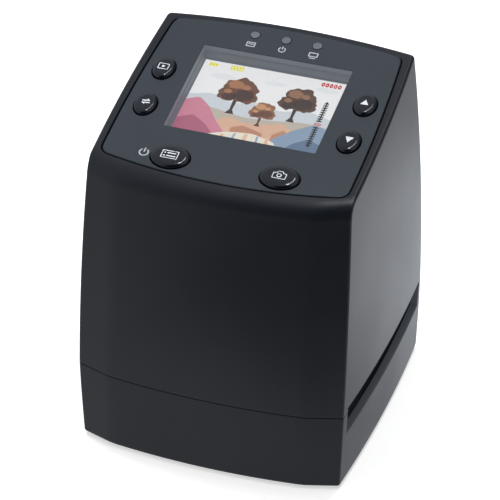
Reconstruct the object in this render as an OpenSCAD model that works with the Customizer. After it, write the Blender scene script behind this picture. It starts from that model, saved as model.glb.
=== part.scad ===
// Desktop scanner for film negatives and slides.
// A film tray slides through the base from side to side, between a light box below and a camera above.
// X runs to the right, Y to the back, Z up. The origin lies under the middle of the feet.

/* [Housing] */
// Half of the width at the seam, at the middle of a side
half_width = 45.5; // [44:0.1:52]
// Reach from the origin to the middle of the front at the seam
front_reach = 47.7; // [46.5:0.1:54]
// Reach from the origin to the middle of the rear at the seam
rear_reach = 45.5; // [45:0.1:52]
// Height of the seam between the base and the upper housing
seam_z = 28; // [27.6:0.1:28.6]
// Height of the middle of the control panel
panel_z = 108.6; // [104:0.2:125]
// Distance of the middle of the control panel behind the origin
panel_y = -4.5; // [-6:0.1:-3]
// Slope of the control panel
panel_slope = 14.8; // [12:0.1:17]
// Wall thickness of both housings
wall = 2.5; // [1.8:0.1:2.8]
// Height of the groove along the seam
seam_gap = 0.4; // [0.2:0.1:0.8]
// Height of the tongue that locates the upper housing
tongue_h = 2.2; // [1:0.1:3]
// Thickness of the tongue
tongue_t = 1.2; // [0.8:0.1:1.6]

/* [Housing curves] */
// Radius of the front's bow in plan
front_bow_r = 243; // [200:1:400]
// Half width of the bowed middle of the front
knee_x = 32.5; // [28:0.5:38]
// Angle by which the front's outer facets turn back
facet_angle = 18.5; // [12:0.5:22]
// Radius of the front's sweep in height
front_sweep_r = 800; // [600:10:1500]
// Backward lean of the front just above the seam
front_lean = 3.15; // [2:0.05:4.5]
// Radius of the rear's bow in plan
rear_bow_r = 290; // [240:1:500]
// Radius of the rear's sweep in height
rear_sweep_r = 640; // [560:10:1000]
// Forward lean of the rear just above the seam
rear_lean = 2.6; // [1.5:0.1:3.2]
// Radius of a side's bow in plan
side_bow_r = 600; // [400:10:620]
// Radius of a side's sweep in height
side_sweep_r = 1250; // [1000:10:2500]
// Place of the widest point of the sides behind the origin
side_mid_y = -2; // [-6:0.5:4]
// Radius of the soft blend between the front's middle and its facets
knee_r = 20; // [5:1:30]
// Radius of the blend between the front and the sloped top
blend_r = 8; // [6:0.5:9]

/* [Base] */
// Inward lean of the base's front just under the seam, going down
base_front_lean = 1.5; // [0:0.1:4]
// Inward lean of the base's sides just under the seam, going down
base_side_lean = 1.4; // [0:0.1:3]
// Outward lean of the base's rear just under the seam, going down
base_rear_lean = 5.7; // [0:0.1:6]

/* [Control panel] */
// Thickness of the control panel plate
plate_t = 2; // [1.4:0.1:2.6]
// Gap all round the plate
plate_gap = 0.35; // [0.2:0.05:0.5]
// Thickness of the recess floor under the plate
recess_t = 1.8; // [1.4:0.1:2.2]
// Rim between the plate's side edge and the widest part of the housing
side_rim = 5.5; // [5.3:0.1:6.5]
// How much less the plate reaches to the front than the housing does
front_rim = 15.7; // [15.5:0.1:16.2]
// How much less the plate reaches to the rear than the housing does
rear_rim = 7.1; // [6.9:0.1:7.9]
// Radius of the plate's side edges
plate_side_r = 550; // [400:10:900]
// Radius of the plate's front edge
plate_front_r = 188; // [150:1:300]
// Radius of the plate's rear edge
plate_rear_r = 235; // [180:1:320]
// Radius of the plate's corners
plate_corner_r = 3.5; // [2:0.1:4.5]

/* [Display] */
// Width of the plate on each side of the display's window
side_band = 15.3; // [15:0.1:17]
// Height of the display's window
window_h = 37.7; // [35:0.1:40]
// Depth of the display's face under the plate's surface
display_depth = 5.9; // [5.4:0.1:6.1]
// Thickness of the clear pane
pane_t = 1; // [0.8:0.1:1.5]
// Width of the lip on which the pane rests
frame_lip = 1.9; // [1.2:0.1:2]
// Reach of the display module past the window's side edges
lcd_side = 2.9; // [2.3:0.1:3.1]
// Reach of the display module past the window's front and rear edges
lcd_edge = 4.9; // [4.1:0.1:5.3]
// Clearance between the display module and the lamps
lamp_clear = 1.75; // [1:0.05:2.5]
// Thickness of the display module
lcd_t = 2.6; // [2:0.1:3]

/* [Buttons] */
// Length of all buttons, up the slope
button_l = 9.4; // [8.4:0.1:9.8]
// Width of the buttons beside the display
side_w = 7.1; // [6.4:0.1:7.8]
// Width of the buttons in front of the display
oval_w = 12.5; // [11:0.1:13.2]
// Height of the caps above the plate
button_proud = 1.3; // [1:0.1:2]
// Gap round each cap
button_gap = 0.3; // [0.2:0.05:0.45]
// Radius of the shoulder of a cap
shoulder_r = 1.1; // [0.7:0.1:1.3]
// Clearance between the side buttons' flanges and the frame round the window
side_clear = 2; // [1:0.1:2.4]
// How far the rear side buttons lie behind the window's middle
side_rear = 4.9; // [3.5:0.1:6]
// How far the front side buttons lie before the window's middle
side_front = 11.8; // [10.5:0.1:13]
// How far the front buttons lie inwards of the window's side edges
oval_side = 7; // [5.5:0.1:9]
// Distance of the front buttons behind the plate's front edge
oval_front = 6.8; // [6.5:0.1:7.2]
// Travel of the buttons
button_travel = 0.5; // [0.3:0.05:0.6]
// Diameter of the three lamps
lamp_d = 3; // [2:0.1:3.2]
// Spacing of the three lamps
lamp_pitch = 10.4; // [8:0.1:12]
// Distance of the lamps before the plate's rear edge
lamp_rear = 4.8; // [4.4:0.1:5.2]

/* [Film pass] */
// How much less the slot reaches to the front than the housing does
slot_front = 9.8; // [9.4:0.1:11]
// How much less the slot reaches to the rear than the housing does
slot_rear = 6.4; // [6:0.1:7.5]
// Height of the slot in the sides
slot_h = 9.9; // [9:0.1:10.2]
// Height of the slot's lower edge
slot_z = 19.8; // [19.4:0.1:20.2]
// Step from the slot's ends to the channel for the film tray
channel_side = 5.5; // [5.3:0.1:7]
// Height of the channel's floor above the slot's lower edge
channel_step = 0.8; // [0.4:0.1:1.2]
// Height of the channel for the film tray
channel_h = 6.7; // [5:0.1:7]
// Width of the light window in the guides
gate_w = 38; // [36:0.1:40]
// Depth of the light window in the guides
gate_d = 26; // [24:0.1:28]

/* [Camera and light] */
// Height of the sensor board above the feet
camera_z = 70; // [62:0.5:74]
// Diameter of the lens barrel
lens_d = 11; // [9:0.1:12]
// Length of the lens barrel
lens_len = 12; // [9:0.5:14]
// Width of the light tunnel's mouth
tunnel_w = 42; // [40:0.5:46]
// Depth of the light tunnel's mouth
tunnel_d = 30; // [28:0.5:32]
// Wall of the light tunnel
tunnel_t = 1.8; // [1.2:0.1:2.4]
// Height of the light board above the feet
light_z = 9; // [8:0.1:10]
// Thickness of the diffuser
diffuser_t = 2; // [1:0.1:2.5]

/* [Boards and ports] */
// Thickness of the circuit boards
board_t = 1.6; // [1:0.1:2]
// How much less the main board reaches sideways than the housing does
board_side = 8.5; // [8.1:0.1:9.5]
// Width of the card slot
card_w = 25.4; // [24.4:0.1:26]
// Height of the card slot
card_h = 3; // [2.6:0.1:3.2]
// Place of the card slot beside the middle
card_u = 10; // [6:0.5:14]
// Width of the pocket for the cable plug
plug_w = 11; // [9:0.1:12]
// Height of the pocket for the cable plug
plug_h = 8; // [7:0.1:8.6]
// Place of the cable plug beside the middle
plug_u = -20; // [-24:0.5:-16]

/* [Screws and feet] */
// Distance of the housing screws from the widest part of the housing
screw_side = 13.5; // [12.9:0.1:15.5]
// Diameter of the housing screws
screw_d = 3; // [2.5:0.1:3]
// Diameter of the screws that hold the boards
small_screw_d = 2.2; // [1.8:0.1:2.4]
// Diameter of the rubber feet
foot_d = 11; // [9:0.1:12]
// Height of the base above the surface that it stands on
foot_stand = 0.8; // [0.4:0.1:1.6]
// Depth of the pockets that hold the feet
foot_pocket = 0.7; // [0.4:0.1:1]

/* [Hidden] */

// A length that reaches past the whole object
far = 130;
// Running clearance of parts that slide in or past each other
slip = 0.15;
// Clearance round a screw in its hole
screw_slip = 0.05;
// Facets of small and large circles
fine = 64;
coarse = 480;

// Heights above the feet
base_top = seam_z - seam_gap / 2;
upper_bottom = seam_z + seam_gap / 2;
floor_top = foot_stand + wall;
end_plate_top = slot_z + slot_h + 1.3;
channel_floor = slot_z + channel_step;
channel_top = channel_floor + channel_h;
gate_t = 2.2;
gate_top = channel_top + gate_t;
track_t = 3.6;
track_bottom = channel_floor - track_t;
// Depths under the plate's surface
recess_n = -plate_t;
ceiling_n = -plate_t - recess_t;
lcd_n = -display_depth;
lcd_back = lcd_n - lcd_t;
board_n = lcd_back - 1.1;
board_back = board_n - board_t;
flange_top = ceiling_n - slip;
flange_t = 1;
flange_bottom = flange_top - flange_t;
switch_h = 3.5;
switch_top = board_n + switch_h;
plunger_len = 2;
// Plate, window and what is placed by them
plate_half_w = half_width - side_rim;
plate_front = front_reach - front_rim;
plate_rear = rear_reach - rear_rim;
window_w = 2 * (plate_half_w - side_band);
lcd_w = window_w + 2 * lcd_side;
lcd_h = window_h + 2 * lcd_edge;
lamp_v = plate_rear - lamp_rear;
window_v = lamp_v - lamp_d / 2 - lamp_clear - lcd_h / 2;
frame_in_w = window_w + 0.2;
frame_in_h = window_h + 0.2;
frame_w = frame_in_w + 2 * frame_lip;
frame_h = frame_in_h + 2 * frame_lip;
flange_over = 1;
side_u = frame_w / 2 + side_clear + flange_over + side_w / 2;
side_rear_v = window_v + side_rear;
side_front_v = window_v - side_front;
oval_u = window_w / 2 - oval_side;
oval_v = oval_front - plate_front;
// Film pass
slot_w = front_reach - slot_front + rear_reach - slot_rear;
slot_y = (rear_reach - slot_rear - front_reach + slot_front) / 2;
channel_w = slot_w - 2 * channel_side;
// Places
main_half_w = half_width - board_side;
screw_x = half_width - screw_side;
block_w = 5;
screw_off = channel_w / 2 + block_w / 2;
side_spots = [[-1, -1], [1, -1], [-1, 1], [1, 1]];
knee_back = front_bow_r - sqrt(pow(front_bow_r, 2) - pow(knee_x, 2));
plate_side_v = -13;
boss_r = 2.8;
boss_u = main_half_w - 2.5;
boss_front_v = window_v - 25.1;
boss_rear_v = window_v + 17.9;
boss_spots = [[-boss_u, boss_front_v], [boss_u, boss_front_v], [-boss_u, boss_rear_v], [boss_u, boss_rear_v]];
light_spots = [for (side = side_spots) [side[0] * (gate_w / 2 + 7), side[1] * (gate_d / 2 + 5)]];
tunnel_spots = [for (side = side_spots) [side[0] * (gate_w / 2 + 8), side[1] * (gate_d / 2 + 4)]];

// Moves its children into the panel's frame: u to the right, v up the slope, n out of the plate
module on_panel(u = 0, v = 0, n = 0) {
  translate([0, panel_y, panel_z])
    rotate([panel_slope, 0, 0])
      translate([u, v, n])
        children();
}

// Place (v, n) in the panel's frame of a point of the middle plane at (y, z)
function to_panel(y, z) = [
  (y - panel_y) * cos(panel_slope) + (z - panel_z) * sin(panel_slope),
  (z - panel_z) * cos(panel_slope) - (y - panel_y) * sin(panel_slope)];

// Centre of the front's sweep in the panel's frame, and where the sweep would meet the panel's plane
front_c = to_panel(front_sweep_r * cos(front_lean) - front_reach, seam_z - front_sweep_r * sin(front_lean));
front_v = front_c[0] - sqrt(pow(front_sweep_r, 2) - pow(front_c[1], 2));

// Everything behind a face that is swept in height; its children give the plan, with the face at x = sweep_r
module swept(turn, reach, sweep_r, lean) {
  rotate(turn)
    translate([0, sweep_r * cos(lean) - reach, seam_z - sweep_r * sin(lean)])
      rotate([90, 0, 0])
        rotate([0, -90, 0])
          rotate(lean - 5)
            rotate_extrude(angle = 17, $fn = coarse)
              children();
}

// Plan of a bowed face
module bow_plan(sweep_r, bow_r, inset, mid = 0) {
  intersection() {
    translate([sweep_r - bow_r, mid])
      circle(r = bow_r - inset, $fn = coarse);
    translate([sweep_r - far, -far / 2])
      square([far + 1, far]);
  }
}

// Plan of one outer facet of the front
module facet_plan(side, inset) {
  translate([front_sweep_r - knee_back, side * knee_x])
    rotate(side * facet_angle)
      translate([-2 * far - inset, -far])
        square([2 * far, 2 * far]);
}

// What the soft blend between the front's middle and a facet takes off
module knee_waste(side) {
  c = [front_sweep_r - front_bow_r, 0];
  out = [cos(facet_angle), side * sin(facet_angle)];
  back = out * (c - [front_sweep_r - knee_back, side * knee_x]);
  turn = side * (facet_angle - acos((-knee_r - back) / (front_bow_r - knee_r)));
  ray = [cos(turn), sin(turn)];
  q = c + (front_bow_r - knee_r) * ray;
  difference() {
    polygon([q, q + (knee_r + 1) * ray, q + (knee_r + 1) * (ray + out) * 0.55, q + (knee_r + 1) * out]);
    translate(q)
      circle(r = knee_r + 0.005, $fn = 360);
  }
}

// Plan of the whole front
module front_plan(inset) {
  difference() {
    intersection() {
      bow_plan(front_sweep_r, front_bow_r, inset);
      facet_plan(1, inset);
      facet_plan(-1, inset);
    }
    if (inset == 0) knee_waste(1);
    if (inset == 0) knee_waste(-1);
  }
}

// Form of the four walls, drawn in by an inset, between two heights
module walls(front_lean, rear_lean, side_lean, inset, bottom, top) {
  intersection() {
    swept(0, front_reach, front_sweep_r, front_lean)
      front_plan(inset);
    swept(180, rear_reach, rear_sweep_r, rear_lean)
      bow_plan(rear_sweep_r, rear_bow_r, inset);
    swept(90, half_width, side_sweep_r, side_lean)
      bow_plan(side_sweep_r, side_bow_r, inset, -side_mid_y);
    swept(-90, half_width, side_sweep_r, side_lean)
      bow_plan(side_sweep_r, side_bow_r, inset, side_mid_y);
    translate([-far, -far, bottom])
      cube([2 * far, 2 * far, top - bottom]);
  }
}

// Section of what the blend between the front and the sloped top takes off; x runs outwards
module blend_section(inset, drop) {
  r = blend_r - inset * 0.8;
  c = [front_v - front_c[0], front_c[1]];
  q = [c[0] + sqrt(pow(front_sweep_r - inset - r, 2) - pow(c[1] + drop + r, 2)), -drop - r];
  ray = (q - c) / norm(q - c);
  difference() {
    polygon([q, q + [0, r + 1], q + r * 1.2 * (ray + [0, 1]), q + (r + 1) * ray]);
    translate(q)
      circle(r = r + 0.03, $fn = fine);
  }
}

// What the blend between the front and the sloped top takes off
module blend_waste(inset, drop) {
  squash = cos(asin((front_c[1] + blend_r) / (front_sweep_r - blend_r)));
  ring_r = front_bow_r * squash;
  facet = atan(tan(facet_angle) / squash);
  span = 16;
  on_panel(0, front_v + ring_r)
    rotate(270 - span)
      rotate_extrude(angle = 2 * span, $fn = coarse)
        translate([ring_r, 0])
          blend_section(inset, drop);
  for (side = [-1, 1])
    on_panel(side * knee_x, front_v + knee_back / squash)
      rotate(270 + side * facet)
        rotate([90, 0, 0])
          linear_extrude(height = 80, center = true)
            blend_section(inset, drop);
}

// The upper housing's outer form, drawn in by an inset and with its top lowered by drop
module upper_form(inset, drop, bottom) {
  difference() {
    intersection() {
      walls(front_lean, rear_lean, 0, inset, bottom, far);
      on_panel(-far, -far, -drop - 2 * far)
        cube(2 * far);
    }
    blend_waste(inset, drop);
  }
}

// The base's outer form, drawn in by an inset, between two heights
module base_form(inset, bottom, top) {
  walls(-base_front_lean, base_rear_lean, -base_side_lean, inset, bottom, top);
}

// Where two circles cross; way picks the crossing to the left (1) or right (-1) of the line from a to b
function crossing(a, ra, b, rb, way) =
  let (d = norm(b - a), along = (b - a) / d, x = (d * d + ra * ra - rb * rb) / (2 * d))
  a + along * x + way * [-along[1], along[0]] * sqrt(ra * ra - x * x);

// What a rounded corner between two circles takes off
module corner_waste(a, ra, b, rb, r, way) {
  q = crossing(a, ra - r, b, rb - r, way);
  ray_a = (q - a) / norm(q - a);
  ray_b = (q - b) / norm(q - b);
  difference() {
    polygon([q, q + (r + 1) * ray_a, q + 1.6 * r * (ray_a + ray_b), q + (r + 1) * ray_b]);
    translate(q)
      circle(r = r + 0.01, $fn = fine);
  }
}

// Outline of the control panel plate, grown by a margin
module plate_outline(margin = 0) {
  front = [0, plate_front_r - plate_front];
  rear = [0, plate_rear - plate_rear_r];
  front_r = plate_front_r + margin;
  rear_r = plate_rear_r + margin;
  side_r = plate_side_r + margin;
  corner_r = plate_corner_r + margin;
  difference() {
    intersection() {
      translate(front)
        circle(r = front_r, $fn = coarse);
      translate(rear)
        circle(r = rear_r, $fn = coarse);
      translate([plate_half_w - plate_side_r, plate_side_v])
        circle(r = side_r, $fn = coarse);
      translate([plate_side_r - plate_half_w, plate_side_v])
        circle(r = side_r, $fn = coarse);
    }
    for (side = [-1, 1]) {
      edge = [side * (plate_half_w - plate_side_r), plate_side_v];
      corner_waste(front, front_r, edge, side_r, corner_r, side);
      corner_waste(rear, rear_r, edge, side_r, corner_r, -side);
    }
  }
}

// Cross-section of a button: an oval of a given width, grown by a margin
module button_outline(width, margin = 0) {
  d = button_l + 2 * margin;
  scale([(width + 2 * margin) / d, 1])
    circle(d = d, $fn = fine);
}

// The six buttons: place and width
function button_place(name) =
  name == "play" ? [-side_u, side_rear_v, side_w] :
  name == "flip" ? [-side_u, side_front_v, side_w] :
  name == "up" ? [side_u, side_rear_v, side_w] :
  name == "down" ? [side_u, side_front_v, side_w] :
  name == "menu" ? [-oval_u, oval_v, oval_w] : [oval_u, oval_v, oval_w];
button_names = ["play", "flip", "up", "down", "menu", "capture"];

module at_button(name, n = 0) {
  spot = button_place(name);
  on_panel(spot[0], spot[1], n)
    children();
}

// Holes for all buttons, between two depths
module button_holes(low, high) {
  for (name = button_names)
    at_button(name, low)
      linear_extrude(height = high - low)
        button_outline(button_place(name)[2], button_gap);
}

// Holes for the three lamps, between two depths
module lamp_holes(low, high) {
  for (step = [-1, 0, 1])
    on_panel(step * lamp_pitch, lamp_v, low)
      cylinder(d = lamp_d + 2 * slip, h = high - low, $fn = fine);
}

// A box in the panel's frame, centred in u and v, between two depths
module panel_box(u, v, size_u, size_v, low, high) {
  on_panel(u - size_u / 2, v - size_v / 2, low)
    cube([size_u, size_v, high - low]);
}

// Puts its children at each of four spots round the film pass
module at_spots(spots, z = 0) {
  for (spot = spots)
    translate([spot[0], slot_y + spot[1], z])
      children();
}

// Spots of the housing screws
screw_spots = [for (side = side_spots) [side[0] * screw_x, side[1] * screw_off]];

// The slot for the film tray, right through both sides
module film_slot() {
  translate([-far, slot_y - slot_w / 2, slot_z])
    cube([2 * far, slot_w, slot_h]);
}

// Panhead screw, head down, with its shank standing up from z = 0
module screw(d, len, head_d, head_h) {
  translate([0, 0, -head_h])
    difference() {
      union() {
        cylinder(d = head_d, h = head_h, $fn = fine);
        cylinder(d = d, h = head_h + len, $fn = fine);
      }
      for (turn = [0, 90])
        rotate(turn)
          translate([-head_d / 4, -head_d / 16, -1])
            cube([head_d / 2, head_d / 8, 1 + head_h * 0.6]);
    }
}

rear_n = board_back - 2;
boss_len = 14;
rib_bottom = end_plate_top + 0.3;
boss_inner_r = screw_d / 2 + screw_slip;

// Upper housing: shell with the panel's recess, the film slot's upper edge, ports, bosses and ribs
module upper_housing() {
  color("#2b2e32")
  difference() {
    union() {
      difference() {
        upper_form(0, 0, upper_bottom);
        upper_form(wall, -ceiling_n, seam_z - 1);
      }
      for (spot = boss_spots)
        on_panel(spot[0], spot[1], board_n)
          cylinder(r = boss_r, h = ceiling_n - board_n + 0.3, $fn = fine);
      at_spots(screw_spots, gate_top + 0.1)
        cylinder(r = 3.2, h = boss_len, $fn = fine);
      for (spot = screw_spots)
        translate([min(spot[0], sign(spot[0]) * (half_width - 2)), slot_y + spot[1] - 0.8, rib_bottom])
          cube([half_width - 2 - screw_x, 1.6, gate_top + boss_len - rib_bottom]);
    }
    on_panel(0, 0, recess_n)
      linear_extrude(height = 20)
        plate_outline(plate_gap);
    panel_box(0, window_v, frame_w + 2 * slip, frame_h + 2 * slip, ceiling_n - 1, 1);
    button_holes(ceiling_n - 1, 1);
    lamp_holes(ceiling_n - 1, 1);
    film_slot();
    panel_box(plug_u, plate_rear + 6.6, plug_w, 24, rear_n - plug_h / 2, rear_n + plug_h / 2);
    panel_box(card_u, plate_rear + 6.6, card_w, 24, board_back - 0.2 - card_h, board_back - 0.2);
    for (spot = boss_spots)
      on_panel(spot[0], spot[1], board_n - 1)
        cylinder(d = small_screw_d + 2 * screw_slip, h = 6.4, $fn = fine);
    at_spots(screw_spots, gate_top - 1)
      cylinder(r = boss_inner_r, h = boss_len - 1, $fn = fine);
  }
}

post_r = 4;
counterbore_r = 3;
counterbore_top = 14;
tongue_slip = 0.35;

// Base housing: floor, walls with the film slot, tongue, screw posts and light board standoffs
module base_housing() {
  color("#2d3034")
  difference() {
    union() {
      difference() {
        union() {
          base_form(0, foot_stand, base_top);
          difference() {
            base_form(wall + tongue_slip, seam_z - 2, seam_z + tongue_h);
            translate([-far, slot_y - slot_w / 2, slot_z])
              cube([2 * far, slot_w, far]);
          }
        }
        base_form(wall, floor_top, seam_z - 3);
        base_form(wall + tongue_slip + tongue_t, seam_z - 5, seam_z + 2 * tongue_h);
      }
      at_spots(screw_spots, floor_top - 0.3)
        cylinder(r = post_r, h = track_bottom - floor_top + 0.3, $fn = fine);
      at_spots(light_spots, floor_top - 0.3)
        cylinder(r = 2.5, h = light_z - floor_top + 0.3, $fn = fine);
    }
    film_slot();
    at_spots(screw_spots, -1)
      cylinder(r = boss_inner_r, h = 40, $fn = fine);
    at_spots(screw_spots, -1)
      cylinder(r = counterbore_r, h = counterbore_top + 1, $fn = fine);
    at_spots(screw_spots, -1)
      cylinder(d = foot_d + 2 * slip, h = foot_stand + foot_pocket + 1, $fn = fine);
    at_spots(light_spots, light_z - 5)
      cylinder(d = small_screw_d + 2 * screw_slip, h = 10, $fn = fine);
  }
}

// Control panel plate
module control_panel() {
  color("#474b51")
  difference() {
    on_panel(0, 0, recess_n)
      linear_extrude(height = plate_t)
        plate_outline();
    panel_box(0, window_v, window_w, window_h, -plate_t - 1, 1);
    button_holes(-plate_t - 1, 1);
    lamp_holes(-plate_t - 1, 1);
  }
}

// Clear pane that lies on the frame, under the plate's window
module display_window() {
  color("#c8d0d8", 0.4)
    panel_box(0, window_v, frame_w, frame_h, recess_n - pane_t, recess_n);
}

// Frame that keeps light and dust out between the pane and the display
module lcd_frame() {
  color("#6a6c70")
  difference() {
    panel_box(0, window_v, frame_w, frame_h, lcd_n, recess_n - pane_t);
    panel_box(0, window_v, frame_in_w, frame_in_h, lcd_n - 1, 1);
  }
}

// Display module: glass in a pressed tray
module lcd_panel() {
  color("#b9c4cc")
  union() {
    panel_box(0, window_v, lcd_w - 1.2, lcd_h - 1.2, lcd_n - 1, lcd_n);
    panel_box(0, window_v, lcd_w, lcd_h, lcd_back, lcd_n - 1);
    panel_box(0, window_v, lcd_w - 12, lcd_h - 12, board_n, lcd_back);
  }
}

// Half section of a cap and the part of it that passes the plate, from the flange up
module cap_section() {
  r = button_l / 2;
  square([r - shoulder_r, button_proud - flange_top]);
  square([r, button_proud - flange_top - shoulder_r]);
  intersection() {
    translate([r - shoulder_r, button_proud - flange_top - shoulder_r])
      circle(r = shoulder_r, $fn = fine);
    square([r, far]);
  }
}

// One button: cap, and the flange that keeps it in
module button(name) {
  width = button_place(name)[2];
  reach = min(width, button_l) / 2 + flange_over;
  part = abs(width - button_l) / 2;
  color("#1c1d20")
  union() {
    at_button(name, flange_top)
      scale([width / button_l, 1, 1])
        rotate_extrude($fn = fine)
          cap_section();
    at_button(name, flange_bottom)
      rotate(width > button_l ? 0 : 90) {
        for (side = [-1, 1])
          translate([side * part, 0, 0])
            cylinder(r = reach, h = flange_t, $fn = fine);
        translate([-part, -reach, 0])
          cube([2 * part, 2 * reach, flange_t]);
      }
  }
}

module play_button() { button("play"); }
module flip_button() { button("flip"); }
module up_button() { button("up"); }
module down_button() { button("down"); }
module menu_button() { button("menu"); }
module capture_button() { button("capture"); }

plunger_d = 3.4;

// Plunger of the switch under a button; the button rests on it
module plunger(name) {
  color("#8c3a2e")
  at_button(name, flange_bottom - plunger_len)
    cylinder(d = plunger_d, h = plunger_len, $fn = fine);
}

module play_plunger() { plunger("play"); }
module flip_plunger() { plunger("flip"); }
module up_plunger() { plunger("up"); }
module down_plunger() { plunger("down"); }
module menu_plunger() { plunger("menu"); }
module capture_plunger() { plunger("capture"); }

// Bodies of the six switches, each with the well that its plunger moves in
module switch_bodies() {
  color("#5b5e62")
  for (name = button_names)
    at_button(name)
      difference() {
        translate([-3, -3, board_n])
          cube([6, 6, switch_h]);
        translate([0, 0, flange_bottom - plunger_len - button_travel - 0.2])
          cylinder(d = plunger_d + 2 * slip, h = 10, $fn = fine);
      }
}

led_h = 0.9;

// Light pipe of one lamp, with the collar that seats under the recess floor
module lamp(step) {
  color("#8e9296")
  on_panel(step * lamp_pitch, lamp_v) {
    translate([0, 0, board_n + led_h + slip])
      cylinder(d = lamp_d, h = -board_n - led_h - slip + 0.1, $fn = fine);
    translate([0, 0, ceiling_n - 1])
      cylinder(d = lamp_d + 1.2, h = 1, $fn = fine);
  }
}

module card_lamp() { lamp(-1); }
module power_lamp() { lamp(0); }
module pc_lamp() { lamp(1); }

// Light emitting diodes under the three lamps
module lamp_leds() {
  color("#d8dcc8")
  for (step = [-1, 0, 1])
    panel_box(step * lamp_pitch, lamp_v, 1.8, 1.8, board_n, board_n + led_h);
}

main_front_v = oval_v - 7.4;
main_rear_v = plate_rear - 5.4;
tab_w = 2 * lamp_pitch + 11.2;
tab_v = lamp_v + 1.8;

// Main board: carries the display, switches and lamps in front, sockets and chips behind
module main_board() {
  color("#1f5a34")
  difference() {
    union() {
      on_panel(-main_half_w, main_front_v, board_back)
        cube([2 * main_half_w, main_rear_v - main_front_v, board_t]);
      on_panel(-tab_w / 2, 0, board_back)
        cube([tab_w, tab_v, board_t]);
    }
    for (spot = boss_spots)
      on_panel(spot[0], spot[1], board_back - 1)
        cylinder(d = small_screw_d + 4 * screw_slip, h = board_t + 2, $fn = fine);
  }
}

// Screws that hold the main board
module board_screws() {
  color("silver")
  for (spot = boss_spots)
    on_panel(spot[0], spot[1], board_back)
      screw(small_screw_d, board_t + 4.8, small_screw_d * 2, 1.4);
}

module processor_chip() {
  color("#202224")
    panel_box(-14, window_v - 12.6, 14, 14, board_back - 1.2, board_back);
}

module memory_chip() {
  color("#26282a")
  panel_box(8, window_v - 14.6, 8, 13, board_back - 1.1, board_back);
}

usb_len = 9.2;
usb_w = 7.8;
usb_h = 4;
usb_mouth_v = plate_rear - 1.2;

// Socket for the computer cable: steel shell with a tongue
module usb_socket() {
  color("silver")
  union() {
    difference() {
      on_panel(plug_u - usb_w / 2, usb_mouth_v - usb_len, board_back - usb_h)
        cube([usb_w, usb_len, usb_h]);
      on_panel(plug_u - usb_w / 2 + 0.4, usb_mouth_v - 6.5, board_back - usb_h + 0.4)
        cube([usb_w - 0.8, 10, usb_h - 0.8]);
    }
    on_panel(plug_u - 1.7, usb_mouth_v - 7, board_back - usb_h / 2 - 0.3)
      cube([3.4, 5.6, 0.8]);
  }
}

card_socket_w = card_w + 2.6;
card_socket_l = 27;
card_mouth_v = plate_rear - 2.6;

// Socket for the memory card
module card_socket() {
  color("silver")
  difference() {
    on_panel(card_u - card_socket_w / 2, card_mouth_v - card_socket_l, board_back - card_h - 0.2)
      cube([card_socket_w, card_socket_l, card_h + 0.2]);
    on_panel(card_u - card_w / 2 + 0.5, card_mouth_v - card_socket_l + 3, board_back - card_h + 0.2)
      cube([card_w - 1, card_socket_l, card_h - 0.6]);
  }
}

guide_half_d = channel_w / 2 + block_w;
track_end = half_width - 4.2;
track_half_l = track_end - 1.8;

// A hole in the guides through which the film is lit and seen
module light_opening(low, high) {
  translate([-gate_w / 2, slot_y - gate_d / 2, low])
    cube([gate_w, gate_d, high - low]);
}

// Lower guide of the film tray: channel with side blocks and an end plate behind each slot
module film_track() {
  color("#17181a")
  difference() {
    union() {
      translate([-track_half_l, slot_y - guide_half_d, track_bottom])
        cube([2 * track_half_l, 2 * guide_half_d, channel_top - track_bottom]);
      translate([-track_end, slot_y - slot_w / 2 + 0.4, track_bottom])
        cube([track_end - track_half_l, slot_w - 0.8, end_plate_top - track_bottom]);
      translate([track_half_l, slot_y - slot_w / 2 + 0.4, track_bottom])
        cube([track_end - track_half_l, slot_w - 0.8, end_plate_top - track_bottom]);
    }
    translate([-far, slot_y - channel_w / 2, channel_floor])
      cube([2 * far, channel_w, channel_h]);
    light_opening(0, channel_top);
    at_spots(screw_spots)
      cylinder(r = boss_inner_r, h = 40, $fn = fine);
  }
}

// Upper guide of the film tray
module film_gate() {
  color("#191a1c")
  difference() {
    translate([-track_half_l + 1.5, slot_y - guide_half_d, channel_top])
      cube([2 * track_half_l - 3, 2 * guide_half_d, gate_t]);
    light_opening(0, gate_top + 1);
    at_spots(screw_spots)
      cylinder(r = boss_inner_r, h = 40, $fn = fine);
    at_spots(tunnel_spots)
      cylinder(d = small_screw_d + 2 * screw_slip, h = 40, $fn = fine);
  }
}

diffuser_margin = 5;
light_top = track_bottom - diffuser_t;
light_board_top = light_z + board_t;

// Milky plate that spreads the light under the film
module diffuser() {
  color("#eef0ee")
  translate([-gate_w / 2 - diffuser_margin, slot_y - gate_d / 2 - diffuser_margin, light_top])
    cube([gate_w + 2 * diffuser_margin, gate_d + 2 * diffuser_margin, diffuser_t]);
}

// White frame between the light board and the diffuser
module light_box() {
  outer = [gate_w + 8, gate_d + 8];
  inner = [gate_w + 4, gate_d + 4];
  color("#e4e6e4")
  difference() {
    translate([-outer[0] / 2, slot_y - outer[1] / 2, light_board_top])
      cube([outer[0], outer[1], light_top - light_board_top]);
    translate([-inner[0] / 2, slot_y - inner[1] / 2, 0])
      cube([inner[0], inner[1], 40]);
  }
}

module backlight_board() {
  color("#e9ebe6")
  difference() {
    translate([-gate_w / 2 - 11, slot_y - gate_d / 2 - 9, light_z])
      cube([gate_w + 22, gate_d + 18, board_t]);
    at_spots(light_spots)
      cylinder(d = small_screw_d + 4 * screw_slip, h = 40, $fn = fine);
  }
}

// White light emitting diodes in rows
module backlight_leds() {
  color("#f2e9a8")
  for (column = [-1.5:1.5], row = [-1:1])
    translate([column * 10 - 1.75, slot_y + row * 9 - 1.4, light_board_top])
      cube([3.5, 2.8, 0.9]);
}

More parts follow.
